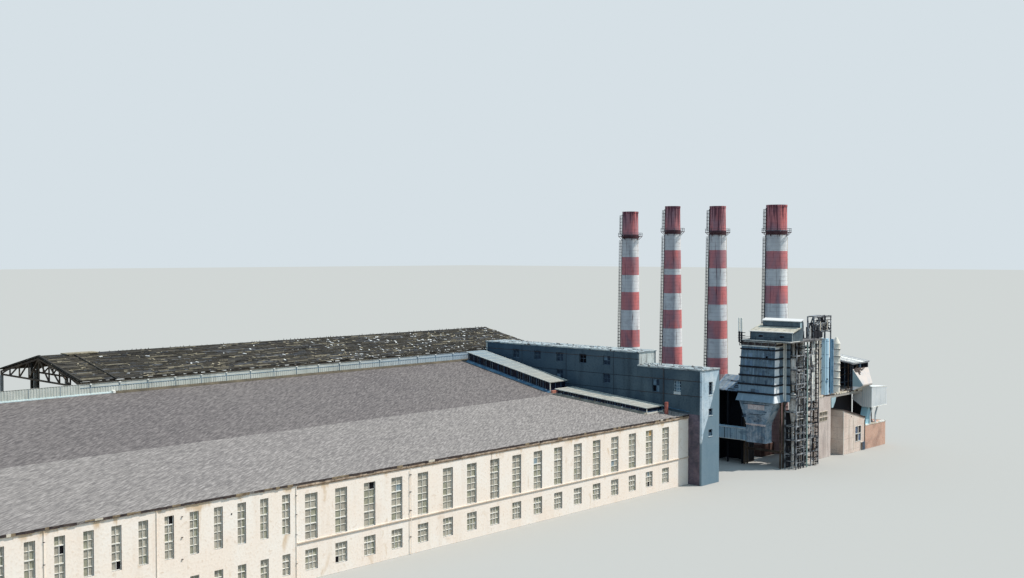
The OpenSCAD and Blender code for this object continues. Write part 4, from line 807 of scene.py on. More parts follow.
# parapet: corrugated sheets with posts, a rail, pale caps and the flashing at their foot
top, foot = nodeBox("parapet")[1].z, roofTop.z
parapet = {"face": 6380, "pitch": 55, "fold": 6, "split": 5258, "rail": 2598, "railHeight": 8, "post": 607.6,
           "flashEnd": 5900}
face, split, rail, flashEnd = [parapet[key] for key in ("face", "split", "rail", "flashEnd")]
ribs = bmesh.new()
addSheet(ribs, (0, face - 1, foot + 8), split, -parapet["fold"], top - foot - 16, parapet["pitch"])
addSheet(ribs, (split, face - 1, foot + 8), hallEnd - split, -parapet["fold"], rail - foot - 12,
         parapet["pitch"])
makePiece("parapet_sheets", ribs, [parapetSheet])
capPaint = coat("capPaint", (236, 236, 226), (246, 246, 238), (150, 146, 132), patchScale=8)
bluePaint = coat("bluePaint", (62, 96, 122), (96, 130, 150), (30, 48, 66), patchScale=6, runs=0.2)
skyPaint = coat("skyPaint", (160, 190, 198), (184, 206, 210), (96, 130, 146), patchScale=4, runs=0.2)
olive = coat("oliveEdge", (74, 68, 56), (98, 90, 74), (38, 34, 32), patchScale=4, runs=0.2)
trim = bmesh.new()
addBox(trim, (0, face - 8, top - 6), (hallEnd, face + 4, top - 1), 3)
addBox(trim, (split, face - 10, rail), (hallEnd, face + 1, rail + parapet["railHeight"]), 1)
for i in range(28):
    x = min(i * parapet["post"], hallEnd - 16)
    addBox(trim, (x, face - 12, foot), (x + 7, face, top - 2), 1)
    if x > split:
        addBox(trim, (x - 12, face - 14, top - 20), (x + 26, face + 10, top - 1))
# the far flashing's dark olive is partly painted shadow along the parapet's foot
flashings = ((0, flashEnd, 34, 32, 20, 2), (flashEnd + 60, hallEnd, 96, 92, 26, 3))
for start, end, low, high, lift, finish in flashings:
    outline = [(start, face - low, roofZ(face - low) + 1), (start, face, foot + 2), (start, face, foot + lift),
               (start, face - high, roofZ(face - high) + 6)]
    addPrism(trim, outline, (end - start, 0, 0), finish)
addBox(trim, (flashEnd + 5, face - 70, foot - 10), (flashEnd + 55, face - 8, foot + 34))
makePiece("parapet_trim", trim, [capPaint, bluePaint, skyPaint, olive])
print("parapet made")

# nave: rows of old boards over the purlins, fallen slates, ridge pieces and the open gable
nave = {"eaveY": 6396, "ridgeY": 8226, "rise": 380, "ridgeZ": 3056, "start": 5280, "end": 18266, "cover": 43,
        "board": 52.6, "shortest": 260, "longest": 1500}
start, stop, ridgeY, ridgeZ, cover = [nave[key] for key in ("start", "end", "ridgeY", "ridgeZ", "cover")]
slope = math.hypot(ridgeY - nave["eaveY"], nave["rise"])
pitchAngle = math.atan2(nave["rise"], ridgeY - nave["eaveY"])
ridgeLine = Matrix.Translation((0, ridgeY, ridgeZ))
sides = {-1: ridgeLine @ Matrix.Rotation(pitchAngle, 4, "X"),
         1: ridgeLine @ Matrix.Rotation(-pitchAngle, 4, "X")}
boards = [coat(*look, patchScale=7, runs=0.0, specks=0.6, grainScale=30) for look in (
    ("darkBoard", (44, 41, 36), (60, 56, 48), (20, 18, 18)),
    ("brownBoard", (64, 60, 51), (86, 80, 68), (30, 28, 26)),
    ("paleBoard", (126, 118, 98), (164, 154, 130), (68, 62, 54)),
    ("slateBoard", (60, 61, 62), (90, 92, 94), (26, 27, 30)))]
draw = random.Random(23)
for side, missing, name in ((-1, 0.015, "nave_boards_near"), (1, 0.12, "nave_boards_far")):
    deck = bmesh.new()
    for row in range(int(slope / nave["board"])):
        u = 12 + row * nave["board"]
        for x, end in lengths(start - 20, stop + 10, nave["shortest"], nave["longest"], stop + 20):
            if end - x > 40 and (draw.random() > missing or row > 31):
                lift = between(0, 4)
                near, far = sorted((side * u, side * (u + nave["board"] - 2)))
                addBox(deck, (x, near, cover + lift), (end - 3, far, cover + lift + 7),
                       pick((0, 1, 3), (70, 18, 12)), sides[side])
        for x, end in lengths(start - 20, stop + 10, 80, 620, stop + 20):
            paleShare = 34 if row > 24 and 6000 < x < 12000 else 8
            if draw.random() > 0.30 and end - x > 30:
                near, far = sorted((side * (u + 24), side * (u + 24 + between(12, 20))))
                addBox(deck, (x, near, cover + 4), (end - between(2, 60), far, cover + 20),
                       pick((0, 1, 2, 3), (16, 60, paleShare, 12 if x > 9000 else 4)), sides[side])
    makePiece(name, deck, boards)
slates = bmesh.new()
paleSlate = coat("paleSlate", (196, 198, 196), (224, 224, 216), (110, 110, 112), patchScale=9, runs=0.0)
for i in range(900):
    x = start + (stop - start) * draw.random() ** (0.55 if i % 3 else 1.0)
    u = slope * (0.04 + 0.94 * draw.random())
    size = between(14, 46)
    turn = Matrix.Translation((x, -u, cover + 21)) @ Matrix.Rotation(between(0, 3.1), 4, "Z")
    kind = pick((0, 1, 2, 3, 4), (20, 20, 22, 14, 26 if x > 11500 else 4))
    addBox(slates, (-size, -size * 0.4, -7), (size, size * 0.4, 2), kind, sides[-1] @ turn)
makePiece("nave_slates", slates, boards + [paleSlate])
ridge = bmesh.new()
addBar(ridge, (start - 20, ridgeY, ridgeZ + 52), (stop + 20, ridgeY, ridgeZ + 52), 26, depth=22)
x = 6600.0
while x < stop:
    if draw.random() > 0.3:
        lean = between(-14, 14)
        addBar(ridge, (x, ridgeY, ridgeZ + 50), (x + lean, ridgeY, ridgeZ + between(66, 96)), 9)
    x += between(40, 110)
for i in range(7):
    x = 5826 + i * 100
    addBox(ridge, (x, ridgeY - 120, ridgeZ + 56), (x + 92, ridgeY + 160, ridgeZ + 78), 1)
for x, thick in ((start - 14, 46), (6000 - 14, 34)):
    addBox(ridge, (x, -slope, cover - 4), (x + thick, 0, cover + 38), 0, sides[-1])
addBox(ridge, (start - 14, 0, cover - 4), (start + 32, slope - 16, cover + 30), 0, sides[1])
for y in (8340, 8620):
    addBox(ridge, (start + 30, y, 0), (start + 74, y + 50, ridgeZ - (y - ridgeY) * 0.2 - 10))
for x, end in lengths(start + 20, stop, 160, 700):
    addBox(ridge, (x, 6398, 2590), (end - 4, 6408, 2706 + between(0, 14)), pick((0, 2), (76, 24)))
makePiece("nave_ridge_and_gable", ridge, [boards[0], boards[2], boards[1]])
print("nave made")

# lanterns: seams and lips on the roofs, thin posts, and the flashing round their curbs
lanternPost = coat("lanternPost", (84, 96, 104), (140, 146, 140), (30, 36, 48), patchScale=20, runs=0.3)
lanternEnd = coat("lanternEnd", (206, 206, 194), (224, 224, 212), (120, 110, 100), patchScale=9)
redBrick = coat("redBrick", (184, 112, 92), (206, 140, 120), (110, 66, 58), patchScale=9)
brownFlash = coat("brownFlash", (120, 112, 100), (160, 152, 136), (66, 60, 54), patchScale=5)
lantern = {"post": 6, "bay": 74, "curb": 56, "seam": 5, "seamPitch": 222, "flash": 70, "lip": 8}
draw = random.Random(31)
for name, flashFinish, height in (("front_lantern", 3, 128), ("rear_lantern", 4, 240)):
    frameLow, frameHigh = nodeBox(name + "_frame")
    coverLow, coverHigh = nodeBox(name + "_roof")
    detail = bmesh.new()
    left, right = frameLow.x, frameHigh.x
    y = frameLow.y + lantern["bay"]
    while y < frameHigh.y - 10:
        if draw.random() > 0.35:
            for x in (left, right):
                addBar(detail, (x, y, roofZ(y) + lantern["curb"]), (x, y, roofZ(y) + height), lantern["post"])
        y += lantern["bay"]
    y = coverLow.y + 40
    while y < coverHigh.y:
        top = roofZ(y) + height + 16
        addBox(detail, (coverLow.x, y, top - 2), (coverHigh.x, y + lantern["seam"], top + 5), 1)
        y += lantern["seamPitch"]
    bends = [y for y in (coverLow.y, roofHigh.y, coverHigh.y) if coverLow.y <= y <= coverHigh.y]
    for x in (coverLow.x - 2, coverHigh.x - 6):
        for near, far in zip(bends, bends[1:]):
            outline = [(x, y, roofZ(y) + height + lift) for y,
                       lift in ((near, 6), (far, 6), (far, 18), (near, 18))]
            addPrism(detail, outline, (lantern["lip"], 0, 0), 1)
    fold, near, far = coverLow.x + 0.68 * (coverHigh.x - coverLow.x), coverLow.y, coverHigh.y
    outline = [(fold + x, near, roofZ(near) + height + lift) for x, lift in ((0, 14), (14, 14), (7, 24))]
    addPrism(detail, outline, (0, far - near, roofZ(far) - roofZ(near)), 1)
    near, far = frameLow.y - 20, frameHigh.y
    for x, out in ((left, -lantern["flash"]), (right, lantern["flash"])):
        outline = [(x + shift, near, roofZ(near) + lift) for shift,
                   lift in ((0, 1), (out, 1), (out, 6), (0, 44))]
        addPrism(detail, outline, (0, far - near, roofZ(far) - roofZ(near)), flashFinish)
    near, foot = frameLow.y, roofZ(frameLow.y)
    for x in (left, left + 12):
        addBar(detail, (x, near - 4, foot), (x, near - 4, foot + height), 10, 1)
    addBox(detail, (left, near - 12, foot), (right, near, foot + 30), 1)
    if name == "rear_lantern":
        addBox(detail, (left + 20, near - 70, roofZ(near - 70)), (left + 190, near - 12, foot + 44), 2)
    for i in range(26 if name == "front_lantern" else 6):
        y = between(near, frameHigh.y - 60)
        size = between(10, 34)
        addBox(detail, (left - size * 0.8, y, roofZ(y)), (left - 2, y + size, roofZ(y) + 40 + size * 0.6),
               draw.choice((0, 1, 3)))
    makePiece(name + "_fittings", detail, [lanternPost, lanternEnd, redBrick, brownFlash, bluePaint])
print("lanterns made")

# block: shut and barred windows, ledges, felt flaps on the roof edges
slateBar = coat("slateBar", (66, 84, 102), (96, 114, 128), (30, 40, 54), patchScale=12, runs=0.2)
barPaint = coat("barPaint", (150, 176, 190), (180, 200, 208), (84, 100, 114), patchScale=12, runs=0.2)
shutPanes = [glazing("shutPane", (28, 42, 58), (44, 60, 76), 0.7, 0.1),
             glazing("palePane", (70, 96, 116), (104, 128, 144), 0.6, 0.2),
             glazing("blackPane", (6, 8, 14), (14, 18, 26), 0.9, 0.05)]
blockSash = {"frame": 9, "bar": 6, "front": -3, "back": 4, "proud": 0, "columns": 2, "rows": 2, "strong": ((),),
             "transom": 8}
barredSash = blockSash | {"frame": 8, "bar": 9, "columns": 4, "rows": 4, "front": -8}
blockLow, blockHigh = nodeBox("block_hall_wall", "block_yard_wall", "block_front_wall")
turned = {-1: Matrix.Rotation(math.radians(-90), 4, "Z"), 1: Matrix.Rotation(math.radians(90), 4, "Z")}
highWindows = [2352, 3094, 3836, 4578, 5320]
lowWindows = [306, 906]
draw = random.Random(41)
bars, panes = bmesh.new(), bmesh.new()


def sideWindow(side, y, z, width, height, odds, look=blockSash, finish=0):
    x = blockLow.x + sashBack if side < 0 else blockHigh.x - sashBack
    place = Matrix.Translation((x, y - side * width / 2, z)) @ turned[side]
    start = len(bars.faces)
    addSash(bars, panes, place, width, height, look, odds)
    bars.faces.ensure_lookup_table()
    for face in bars.faces[start:]:
        face.material_index = finish


# the darkest panes are painted shade of open holes
shut, black, mixed = (90, 10, 0, 0, 0, 0), (0, 0, 1, 0, 0, 0), (70, 20, 10, 0, 0, 0)
for y in highWindows:
    sideWindow(-1, y, 2652 - 111, 222, 222, black if y == 3094 else shut)
    for z in (2652, 2220, 1710, 1240):
        sideWindow(1, y, z - 111, 222, 222, mixed)
for y in (2352, 3836):
    sideWindow(-1, y, 2220 - 111, 222, 222, shut)
for y in lowWindows:
    sideWindow(-1, y, 2020, 200, 294, (30, 60, 10, 0, 0, 0), *((barredSash, 1) if y == 306 else (blockSash, 0)))
    for z in (2220, 1710):
        sideWindow(1, y, z - 111, 200, 222, mixed)
for z, height in ((2020, 294), (1560, 150), (1090, 150)):
    place = Matrix.Translation((16772 - 75, blockLow.y + sashBack, z))
    look = blockSash | {"rows": 2 if height < 200 else 4}
    addSash(bars, panes, place, 150, height, look, (40, 10, 50, 0, 0, 0))
makePiece("block_window_bars", bars, [slateBar, barPaint], ["block_windows"])
makePiece("block_window_panes", panes, shutPanes)

trim = bmesh.new()
palePanel = coat("palePanel", (180, 188, 188), (206, 210, 206), (96, 104, 110), patchScale=8)
for z, start, end in ((2333, blockLow.y, 1422), (1999, blockLow.y, 1422), (2735, 1422, 6390)):
    addBox(trim, (blockLow.x - 5, start, z - 2), (blockLow.x + 1, end, z + 6), 1)
for z in (2010, 1552, 1082):
    addBox(trim, (16690, blockLow.y - 8, z - 8), (16856, blockLow.y + 2, z + 4))
for k in range(5):
    addBox(trim, (16850, blockLow.y - 3, 2040 + k * 56), (16872 + 14 * (k % 2), blockLow.y + 2, 2074 + k * 56))
addBox(trim, (blockLow.x - 3, 306 - 96, 2000), (blockLow.x + 2, 306 + 96, 2070))
for start, end in (((16412, 476, 1684), (16412, -40, 1640)), ((16410, 1300, 1752), (16410, 476, 1690))):
    addBar(trim, start, end, 14, 2)
addBar(trim, (16418, 690, 2600), (16418, 690, 1660), 12, 1)
addBox(trim, (15970, 270, roofZ(270) - 4), (16032, 330, 1870), 3)
draw = random.Random(43)
for z, low, high in ((2604, (16408, -374), (17136, 1422)), (2913, (16408, 1408), (17136, 6396))):
    for y, end in lengths(low[1], high[1], 40, 190, gap=(0, 30)):
        if draw.random() > 0.25:
            addBox(trim, (low[0] - between(2, 9), y, z - between(10, 26)),
                   (low[0] + between(20, 90), end, z + between(3, 12)), pick((0, 4, 1), (66, 18, 16)))
    for x, end in lengths(low[0], high[0], 40, 120, gap=(0, 20)):
        addBox(trim, (x, low[1] - between(2, 8), z - between(8, 20)),
               (end, low[1] + 30, z + between(2, 10)), pick((0, 4), (70, 30)))
    for i in range(int((high[1] - low[1]) / 26)):
        x, y = between(low[0] + 40, high[0] - 120), between(low[1] + 30, high[1] - 120)
        turn = Matrix.Translation((x, y, z)) @ Matrix.Rotation(between(0.4, 1.3), 4, "Z")
        addBox(trim, (0, 0, -2), (between(60, 240), between(8, 26), between(3, 12)),
               pick((0, 1, 4), (34, 36, 30)), turn)
for i in range(26):
    x, y, size = between(16440, 17060), between(1250, 1415), between(10, 32)
    addBox(trim, (x, y, 2602), (x + size * 2, y + size, 2604 + size * 0.9), draw.choice((0, 1, 4)))
greyFelt = coat("greyFelt", (150, 156, 158), (178, 184, 184), (84, 88, 92), patchScale=8)
ventRed = coat("ventRed", (150, 84, 74), (176, 108, 94), (80, 48, 46), patchScale=8)
makePiece("block_trim", trim, [palePanel, edgeBlack, bluePaint, ventRed, greyFelt])
print("block made")

# chimney galleries, caged ladders and pipes
stacks = {"x": 21552, "ys": (5574, 4086, 2598, 786), "heights": (6426, 6540, 6500, 6480),
          "feet": (320, 324, 316, 343), "mouths": (225, 207, 213, 264), "drop": 670, "ring": 110, "reach": 115,
          "rail": 105, "bar": 10, "sink": 50, "ladderTurn": 133, "ladderGap": 12, "ladderWidth": 50, "cage": 70,
          "rung": 85}


def addLadder(bm, place, low, high, look):
    # rails, rungs, hoops and straps, with x away from the shaft
    gap, half, cage, bar = look["ladderGap"], look["ladderWidth"] / 2, look["cage"], look["bar"]
    bars = [((gap, side, low), (gap, side, high), bar) for side in (-half, half)]
    count = int((high - low) / look["rung"])
    for k in range(count):
        z = low + (k + 0.5) * (high - low) / count
        bars.append(((gap, -half, z), (gap, half, z), bar))
        if k % 4 == 1:
            bars += [((-4, side, z), (gap, side, z), bar) for side in (half, -half)]
        if k % 2 or look["rung"] > 80:
            turns = [math.pi * i / 6 for i in range(1, 6)]
            hoop = [(gap + cage * math.sin(turn), cage * math.cos(turn) * 0.8, z) for turn in turns]
            hoop = [(gap, half, z), *hoop, (gap, -half, z)]
            bars += [(start, end, 10) for start, end in zip(hoop, hoop[1:])]
    for turn in (35, 90, 145):
        x, y = gap + cage * math.sin(math.radians(turn)), cage * math.cos(math.radians(turn)) * 0.8
        bars.append(((x, y, low + 60), (x, y, high - 60), 9))
    for start, end, width in bars:
        addBar(bm, start, end, width, place=place)


galleries, ladders = bmesh.new(), bmesh.new()
ring, rail = stacks["ring"], stacks["rail"]
shapes = zip(*(stacks[key] for key in ("ys", "heights", "feet", "mouths")))
for i, (y, height, foot, mouth) in enumerate(shapes):
    level = height - stacks["drop"]
    place = Matrix.Translation((stacks["x"], y, 0))
    radius = foot + (mouth - foot) * level / height
    edge = radius + stacks["reach"]
    below = foot + (mouth - foot) * (level - ring) / height
    addRing(galleries, place, below - 6, below + 7, level - ring, level, 0)
    level -= stacks["sink"]
    for inner in (radius + 2, radius + stacks["reach"] / 2, edge - 8):
        addRing(galleries, place, inner, inner + 8, level, level + 14, 0, 24)
    for z in (rail / 2, rail - 8):
        addRing(galleries, place, edge - 7, edge, level + z, level + z + 7, 1, 24)
    for k in range(24):
        turn = place @ Matrix.Rotation(math.radians(15 * k), 4, "Z")
        addBox(galleries, (radius - 3, -3, level + 1), (edge - 2, 3, level + 7), 1, turn)
        if k % 3 == 0:
            addBar(galleries, (edge - 4, 0, level), (edge - 4, 0, level + rail), 8, 1, place=turn)
            addBar(galleries, (below, 0, level - ring + 10), (edge - 10, 0, level), 12, place=turn)
    lean = Matrix.Translation((foot, 0, 0)) @ Matrix.Rotation(-math.atan((foot - mouth) / height), 4, "Y")
    out = place @ Matrix.Rotation(math.radians(stacks["ladderTurn"]), 4, "Z") @ lean
    addLadder(ladders, out, 0, level - stacks["cage"], stacks)
    addLadder(ladders, out, level + 10, height - 70, stacks)
    if i > 1:  # a pipe with its brackets
        side = place @ Matrix.Rotation(math.radians(-48), 4, "Z") @ lean
        addBar(ladders, (8, 0, 0), (8, 0, level - 120), 18, 2, 8, place=side)
        for k in range(12):
            z = 200 + k * (level - 420) / 11
            addBar(ladders, (-8, 0, z), (20, 0, z), 12, 2, place=side)
galleryRail = coat("galleryRail", (70, 78, 88), (110, 118, 124), (36, 38, 46), patchScale=12)
makePiece("gallery_rings_and_rails", galleries, [gallerySteel, galleryRail],
          ["chimney_galleries"])
makePiece("caged_ladders", ladders, [ladderSteel, galleryRail, edgePale], ["chimney_ladders"])
print("chimney galleries and ladders made")

# tower: dark angles at the stiffeners, their darkness partly painted shade beneath them, seams, pale edges,
# vents and penthouse trim
darkAngle = coat("darkAngle", (30, 32, 40), (52, 52, 56), (14, 14, 20), patchScale=10, rough=0.9)
seamSheet = weathered("seamSheet", casingLook | toned(base=(100, 124, 148), pale=(124, 146, 166)))
paleSteel = coat("paleSteel", (206, 208, 204), (226, 228, 222), (110, 108, 108), patchScale=9, runs=0.5,
                 specks=0.6)
pinkPatch = coat("pinkPatch", (214, 196, 192), (232, 222, 218), (120, 104, 104), patchScale=9, specks=0.5)
tower = {"x": 19152, "back": 19632, "front": -582, "width": 1030, "foot": 1620, "height": 1350, "lean": 54,
         "sideLean": 70, "first": 1810, "pitch": 212, "angle": 30, "out": 9, "riser": 19596, "top": 2948}


def towerFace(z):
    # the x of the tower's face, and the y of its back edge, at a height
    share = (z - tower["foot"]) / tower["height"]
    side = tower["front"] + tower["width"] - 12 - tower["sideLean"] * share
    return tower["x"] + 12 + tower["lean"] * share, side


trim = bmesh.new()
draw = random.Random(53)
front, riser = tower["front"], tower["riser"]
for k in range(6):
    z = tower["first"] + k * tower["pitch"]
    x, side = towerFace(z)
    out, low, high = 12 + tower["out"], z + 4, z + 4 + tower["angle"]
    addBoxes(trim, ((x - out, front - tower["out"], low), (x + 4, side + out, high), 0),
             ((x, front - tower["out"], low), (riser, front + 12, high), 0),
             ((x, side, low), (tower["back"] - 4, side + out, high), 0))
    upper = z + tower["pitch"] if k < 5 else tower["top"]
    topFace = towerFace(upper)[0]
    y = front + 20
    while y < side - 20:
        addBar(trim, (x, y, z + 24), (topFace, y, upper), 7, 1)
        y += 90
    for i in range(3):
        y = between(front + 30, side - 160)
        addBox(trim, (x - 2, y, z + 30), (x + 5, y + between(40, 130), z + 34 + between(30, 140)),
               draw.choice((1, 1, 5)))
x, side = towerFace(tower["top"])
addBox(trim, (x - 16, front - 6, 2950), (x + 2, side + 16, 2974), 2)
addBox(trim, (x - 14, front - 8, 2950), (riser, front + 2, 2974), 2)
for i in range(9):
    y = between(front, side - 60)
    addBox(trim, (x + 10, y, 2970), (x + 50, y + between(20, 70), 2970 + between(24, 70)), 2)
addBoxes(trim, ((19206, -560, 2976), (19212, 360, 3068), 7), ((19206, -572, 2976), (19630, -564, 3068), 7))
addBar(trim, (19590, -585, 1640), (19590, -585, 3066), 46, 6, 10)
addBar(trim, (19590, -640, 1640), (19590, -640, 3066), 24, 6, 10)
addBar(trim, (19590, -585, 3050), (19230, -600, 3050), 30, 6, 10)
addBoxes(trim, ((19178, -992, 3100), (19186, 380, 3114), 6), ((19184, -560, 3062), (19200, 300, 3072), 2),
         ((19178, -996, 3098), (19640, -988, 3112), 6))
for y in (-582, -460, -40, 330):
    addBar(trim, (19190, y, 3110), (19190, y, 3190), 7)
for z in (3150, 3188):
    addBar(trim, (19190, -980, z), (19190, 374, z), 6)
# pale patches on the hopper and its flange, and a torn foot edge
addBoxes(trim, ((19180, -300, 1420), (19186, 160, 1540), 3), ((19166, -345, 1046), (19173, 210, 1074), 3))
for i in range(10):
    y = -330 + i * 54 + between(-8, 8)
    addBox(trim, (19164, y, 1040 - between(0, 14)), (19174, y + between(20, 44), 1078), 3)
for i in range(7):
    y, z = between(-380, 220), between(1100, 1380)
    addBox(trim, (19181, y, z), (19186, y + between(30, 110), z + between(16, 60)), draw.choice((1, 3, 5)))
addBoxes(trim, ((19178, -250, 1300), (19186, 100, 1312), 0), ((19178, -430, 1540), (19186, 300, 1552), 0))
# ribs on the outlet box and on the gas duct
for y in range(-310, 200, 84):
    addBox(trim, (19178, y, 660), (19186, y + 8, 1040), 1)
for y in (300, 470, 640, 810, 980, 1150):
    addBox(trim, (19177, y, 642), (19186, y + 14, 924), 0 if y == 810 else 1)
addBoxes(trim, ((19176, 216, 914), (19186, 1315, 926), 2), ((19176, 216, 636), (19186, 1315, 650), 2))
# two vents at the back corner, on dark elbows held by the casing
for y, width, top, low in ((424, 40, 3636, 3311), (352, 58, 3634, 3300)):
    addBar(trim, (19190, y, low), (19190, y, top), width, 6, 10)
    addBar(trim, (19190, y, 3040), (19190, y, low), width * 0.8, 0, 10)
    addBar(trim, (19190, y, 3050), (19230, 340, 3000), 26, 0, 8)
addBar(trim, (19175, 392, 2960), (19175, 392, 3300), 22, 0, 8)
for z in (3140, 3200, 3270):
    addBox(trim, (19165, 250, z), (19200, 440, z + 14))
# penthouse: pale corner posts, window frames and a blue strip on the upper room
addBoxes(trim, ((19286, -988, 3112), (19296, -976, 3312), 2), ((19286, 160, 3112), (19296, 172, 3312), 0))
for y in (-700, -120):
    addBoxes(trim, ((19290, y - 70, 3168), (19294, y + 70, 3176), 1),
             ((19290, y - 70, 3240), (19294, y + 70, 3248), 1),
             ((19298, y - 60, 3178), (19303, y + 60, 3238), 0))
addBoxes(trim, ((19290, -990, 3300), (19296, 170, 3312), 0), ((19638, -994, 3420), (19700, -988, 3560), 4),
         ((19636, -990, 3440), (19643, 30, 3450), 0))
makePiece("tower_trim", trim, [darkAngle, seamSheet, paleSteel, pinkPatch, skyPaint, slateBar, capPaint,
                               edgeBlack])

# corrugated sheets on the link house, with torn dark edges
trim = bmesh.new()
foot, run = linkTop["foot"] * 1000, linkHigh.x - linkLow.x
rise = linkHigh.z - foot
long = math.hypot(rise, run)
linkPlace = Matrix.Translation((linkLow.x, 0, foot)) @ Matrix.Rotation(-math.atan2(rise, run), 4, "Y")
y = linkLow.y - 10
while y < linkHigh.y:
    addBox(trim, (-12 - between(0, 26), y, 1), (long + 8, y + 22, 6 + between(0, 5)),
           pick((0, 1, 2), (46, 48, 6)), linkPlace)
    y += 38
for i in range(14):
    u, v = between(0, 420), between(linkLow.y, linkHigh.y - 150)
    addBox(trim, (u, v, 6), (u + between(14, 40), v + between(60, 200), 13), draw.choice((0, 3)), linkPlace)
addBox(trim, (linkLow.x - 8, linkLow.y, foot - 26), (linkLow.x + 2, linkHigh.y, foot - 2), 3)
makePiece("link_roof_sheets", trim, [linkSheet, seamSheet, paleSteel, darkAngle])
print("tower made")

# pipe rack: pipes between its levels and bays, gratings, valves and a ladder
rack = {"posts": (19632, 19990, 20348, 20706), "front": -912, "back": -608, "top": 3070, "levels": 9}
front, back = rack["front"], rack["back"]
trim = bmesh.new()
draw = random.Random(61)
step = rack["top"] / rack["levels"]
for k in range(rack["levels"]):
    low, high = k * step, (k + 1) * step
    for bay, (left, right) in enumerate(zip(rack["posts"], rack["posts"][1:])):
        thin = bay == 2 and low > 1500
        # very dark back plates in most bays: painted shade behind the rack
        if draw.random() > 0.12:
            addBox(trim, (left + 10, back + 6, low + 10), (right + 20, back + 12, high + 8),
                   pick((0, 3, 1), (76, 16, 8)))
        for i in range(1 if thin else 5):
            x = between(left + 34, right - 12)
            y = draw.choice((front + 13, front + 13, back + 13, -760))
            if y == -760:
                addBar(trim, (x, front + 8, low + step / 2), (x, back + 20, low + step / 2),
                       between(12, 30), draw.choice((0, 1, 3)), 8)
                continue
            width = between(10, 34)
            kind = pick((0, 1, 2, 3), (44, 18, 28, 10))
            addBar(trim, (x, y, low), (x, y, high + 8), width, kind, 8)
            if draw.random() > 0.5:
                z = between(low + 60, high - 60)
                addBar(trim, (x, y, z), (x, y, z + 34), width + 18, draw.choice((0, 1)), 8)
        for i in range(3):
            z = low + between(30, step - 20)
            y = draw.choice((front + 6, front + 20, back + 10))
            addBar(trim, (left + 10, y, z), (right + 14, y, z + draw.choice((0, 0, 40, -40))),
                   between(10, 26), pick((0, 1, 2), (44, 40, 16)), 8)
        if draw.random() > 0.45:
            addBox(trim, (left + 20, front + 20, high), (right, back + 20, high + 28), draw.choice((0, 0, 3)))
z = 1600.0
while z < 2960:
    x, end = 20360 + between(0, 40), z + between(70, 190)
    while x < 20690:
        reach = min(x + between(50, 220), 20700)
        if draw.random() > 0.34:
            addBox(trim, (x, front - 5, z), (reach, front + 2, min(end, 3000) - 8), draw.choice((2, 5, 5)))
        x = reach + between(4, 30)
    z = end
for i, x in enumerate((19748, 20106)):
    for z in (1130, 1780, 2380):
        z += i * 36
        addRing(trim, Matrix.Translation((x, -747, 0)), 84, 96, z, z + 14, 0, 16)
addBar(trim, (20135, front - 4, 0), (20135, front - 4, rack["top"]), 24, 4)
for z in (560, 1240, 1920, 2600):
    addBar(trim, (19990, front - 2, z), (20360, front - 2, z + 300), 16)
place = Matrix.Translation((20540, front - 4, 0)) @ Matrix.Rotation(math.radians(-90), 4, "Z")
addLadder(trim, place, 0, rack["top"], stacks | {"rung": 60})
mint = coat("mintSteel", (150, 178, 172), (180, 200, 192), (90, 104, 104), patchScale=9)
makePiece("rack_pipes", trim, [darkAngle, rackSteel, paleLagging, rustySteel, mint, capPaint])
print("pipe rack made")

# shafts and their stand: posts, rings, a sloping panel and the clutter on the platform
platform = 1590  # the top of the slab that the shafts and the shed stand on
shafts = {"xs": (21245, 21845, 22445), "y": -472, "skin": 98, "ringPitch": 190}
trim = bmesh.new()
creamPaint = coat("creamPaint", (214, 204, 184), (230, 222, 206), (120, 100, 84), patchScale=7, runs=0.5)
deepBlue = coat("deepBlue", (96, 134, 160), (136, 170, 190), (52, 76, 96), patchScale=7)
addBar(trim, (21600, -470, platform), (21600, -470, 3232), 62, 1, 12)
addBar(trim, (22196, -486, platform), (22196, -486, 3000), 74, 2, 12)
addBar(trim, (22120, -500, platform), (22120, -500, 2900), 26, 2, 8)
addBar(trim, (20950, -560, platform), (20950, -560, 3260), 40, 1, 8)
addBar(trim, (21050, -596, 0), (21050, -596, platform), 34, 4)
for z in (1800, 2160, 2520, 2880):
    addBar(trim, (20960, -570, z), (21610, -500, z + 8), 16)
for z in (1700, 2000, 2300, 2600):
    addBar(trim, (20960, -566, z), (21600, -520, z + 260), 12)
addBoxes(trim, ((21062, -420, 3040), (21700, -412, 3236), 0), ((21062, -584, 3090), (21500, -578, 3236), 0),
         ((21062, -584, 3236), (21400, -400, 3262), 0))
draw = random.Random(67)
for i in range(16):
    x, y = between(20480, 20740), draw.choice((-900, -760, -600))
    addBar(trim, (x, y, 3108), (x + between(-10, 10), y, between(3180, 3560)), between(12, 30),
           pick((0, 5, 3), (40, 30, 30)), 8)
for z in (3190, 3300, 3420):
    addBar(trim, (20470, -760, z), (21100, -560, z + 30), 16)
for i in range(44):
    x, y = between(21070, 21780), draw.choice((-576, -500, -400))
    addBar(trim, (x, y, 3258), (x + between(-14, 14), y, 3258 + between(70, 350)),
           between(8, 26), pick((0, 1, 3), (50, 20, 30)))
for z in (3300, 3370, 3520, 3590):
    addBar(trim, (21062, -578, z), (21960, -578, z), 14)
addPrism(trim, [(21400, -560, 3640), (21420, -560, 3652), (21950, -560, 3272), (21940, -560, 3258)],
         (0, 130, 0))
addPrism(trim, [(21062, -570, 3628), (21400, -570, 3636), (21400, -570, 3650), (21062, -570, 3642)],
         (0, 150, 0), 3)
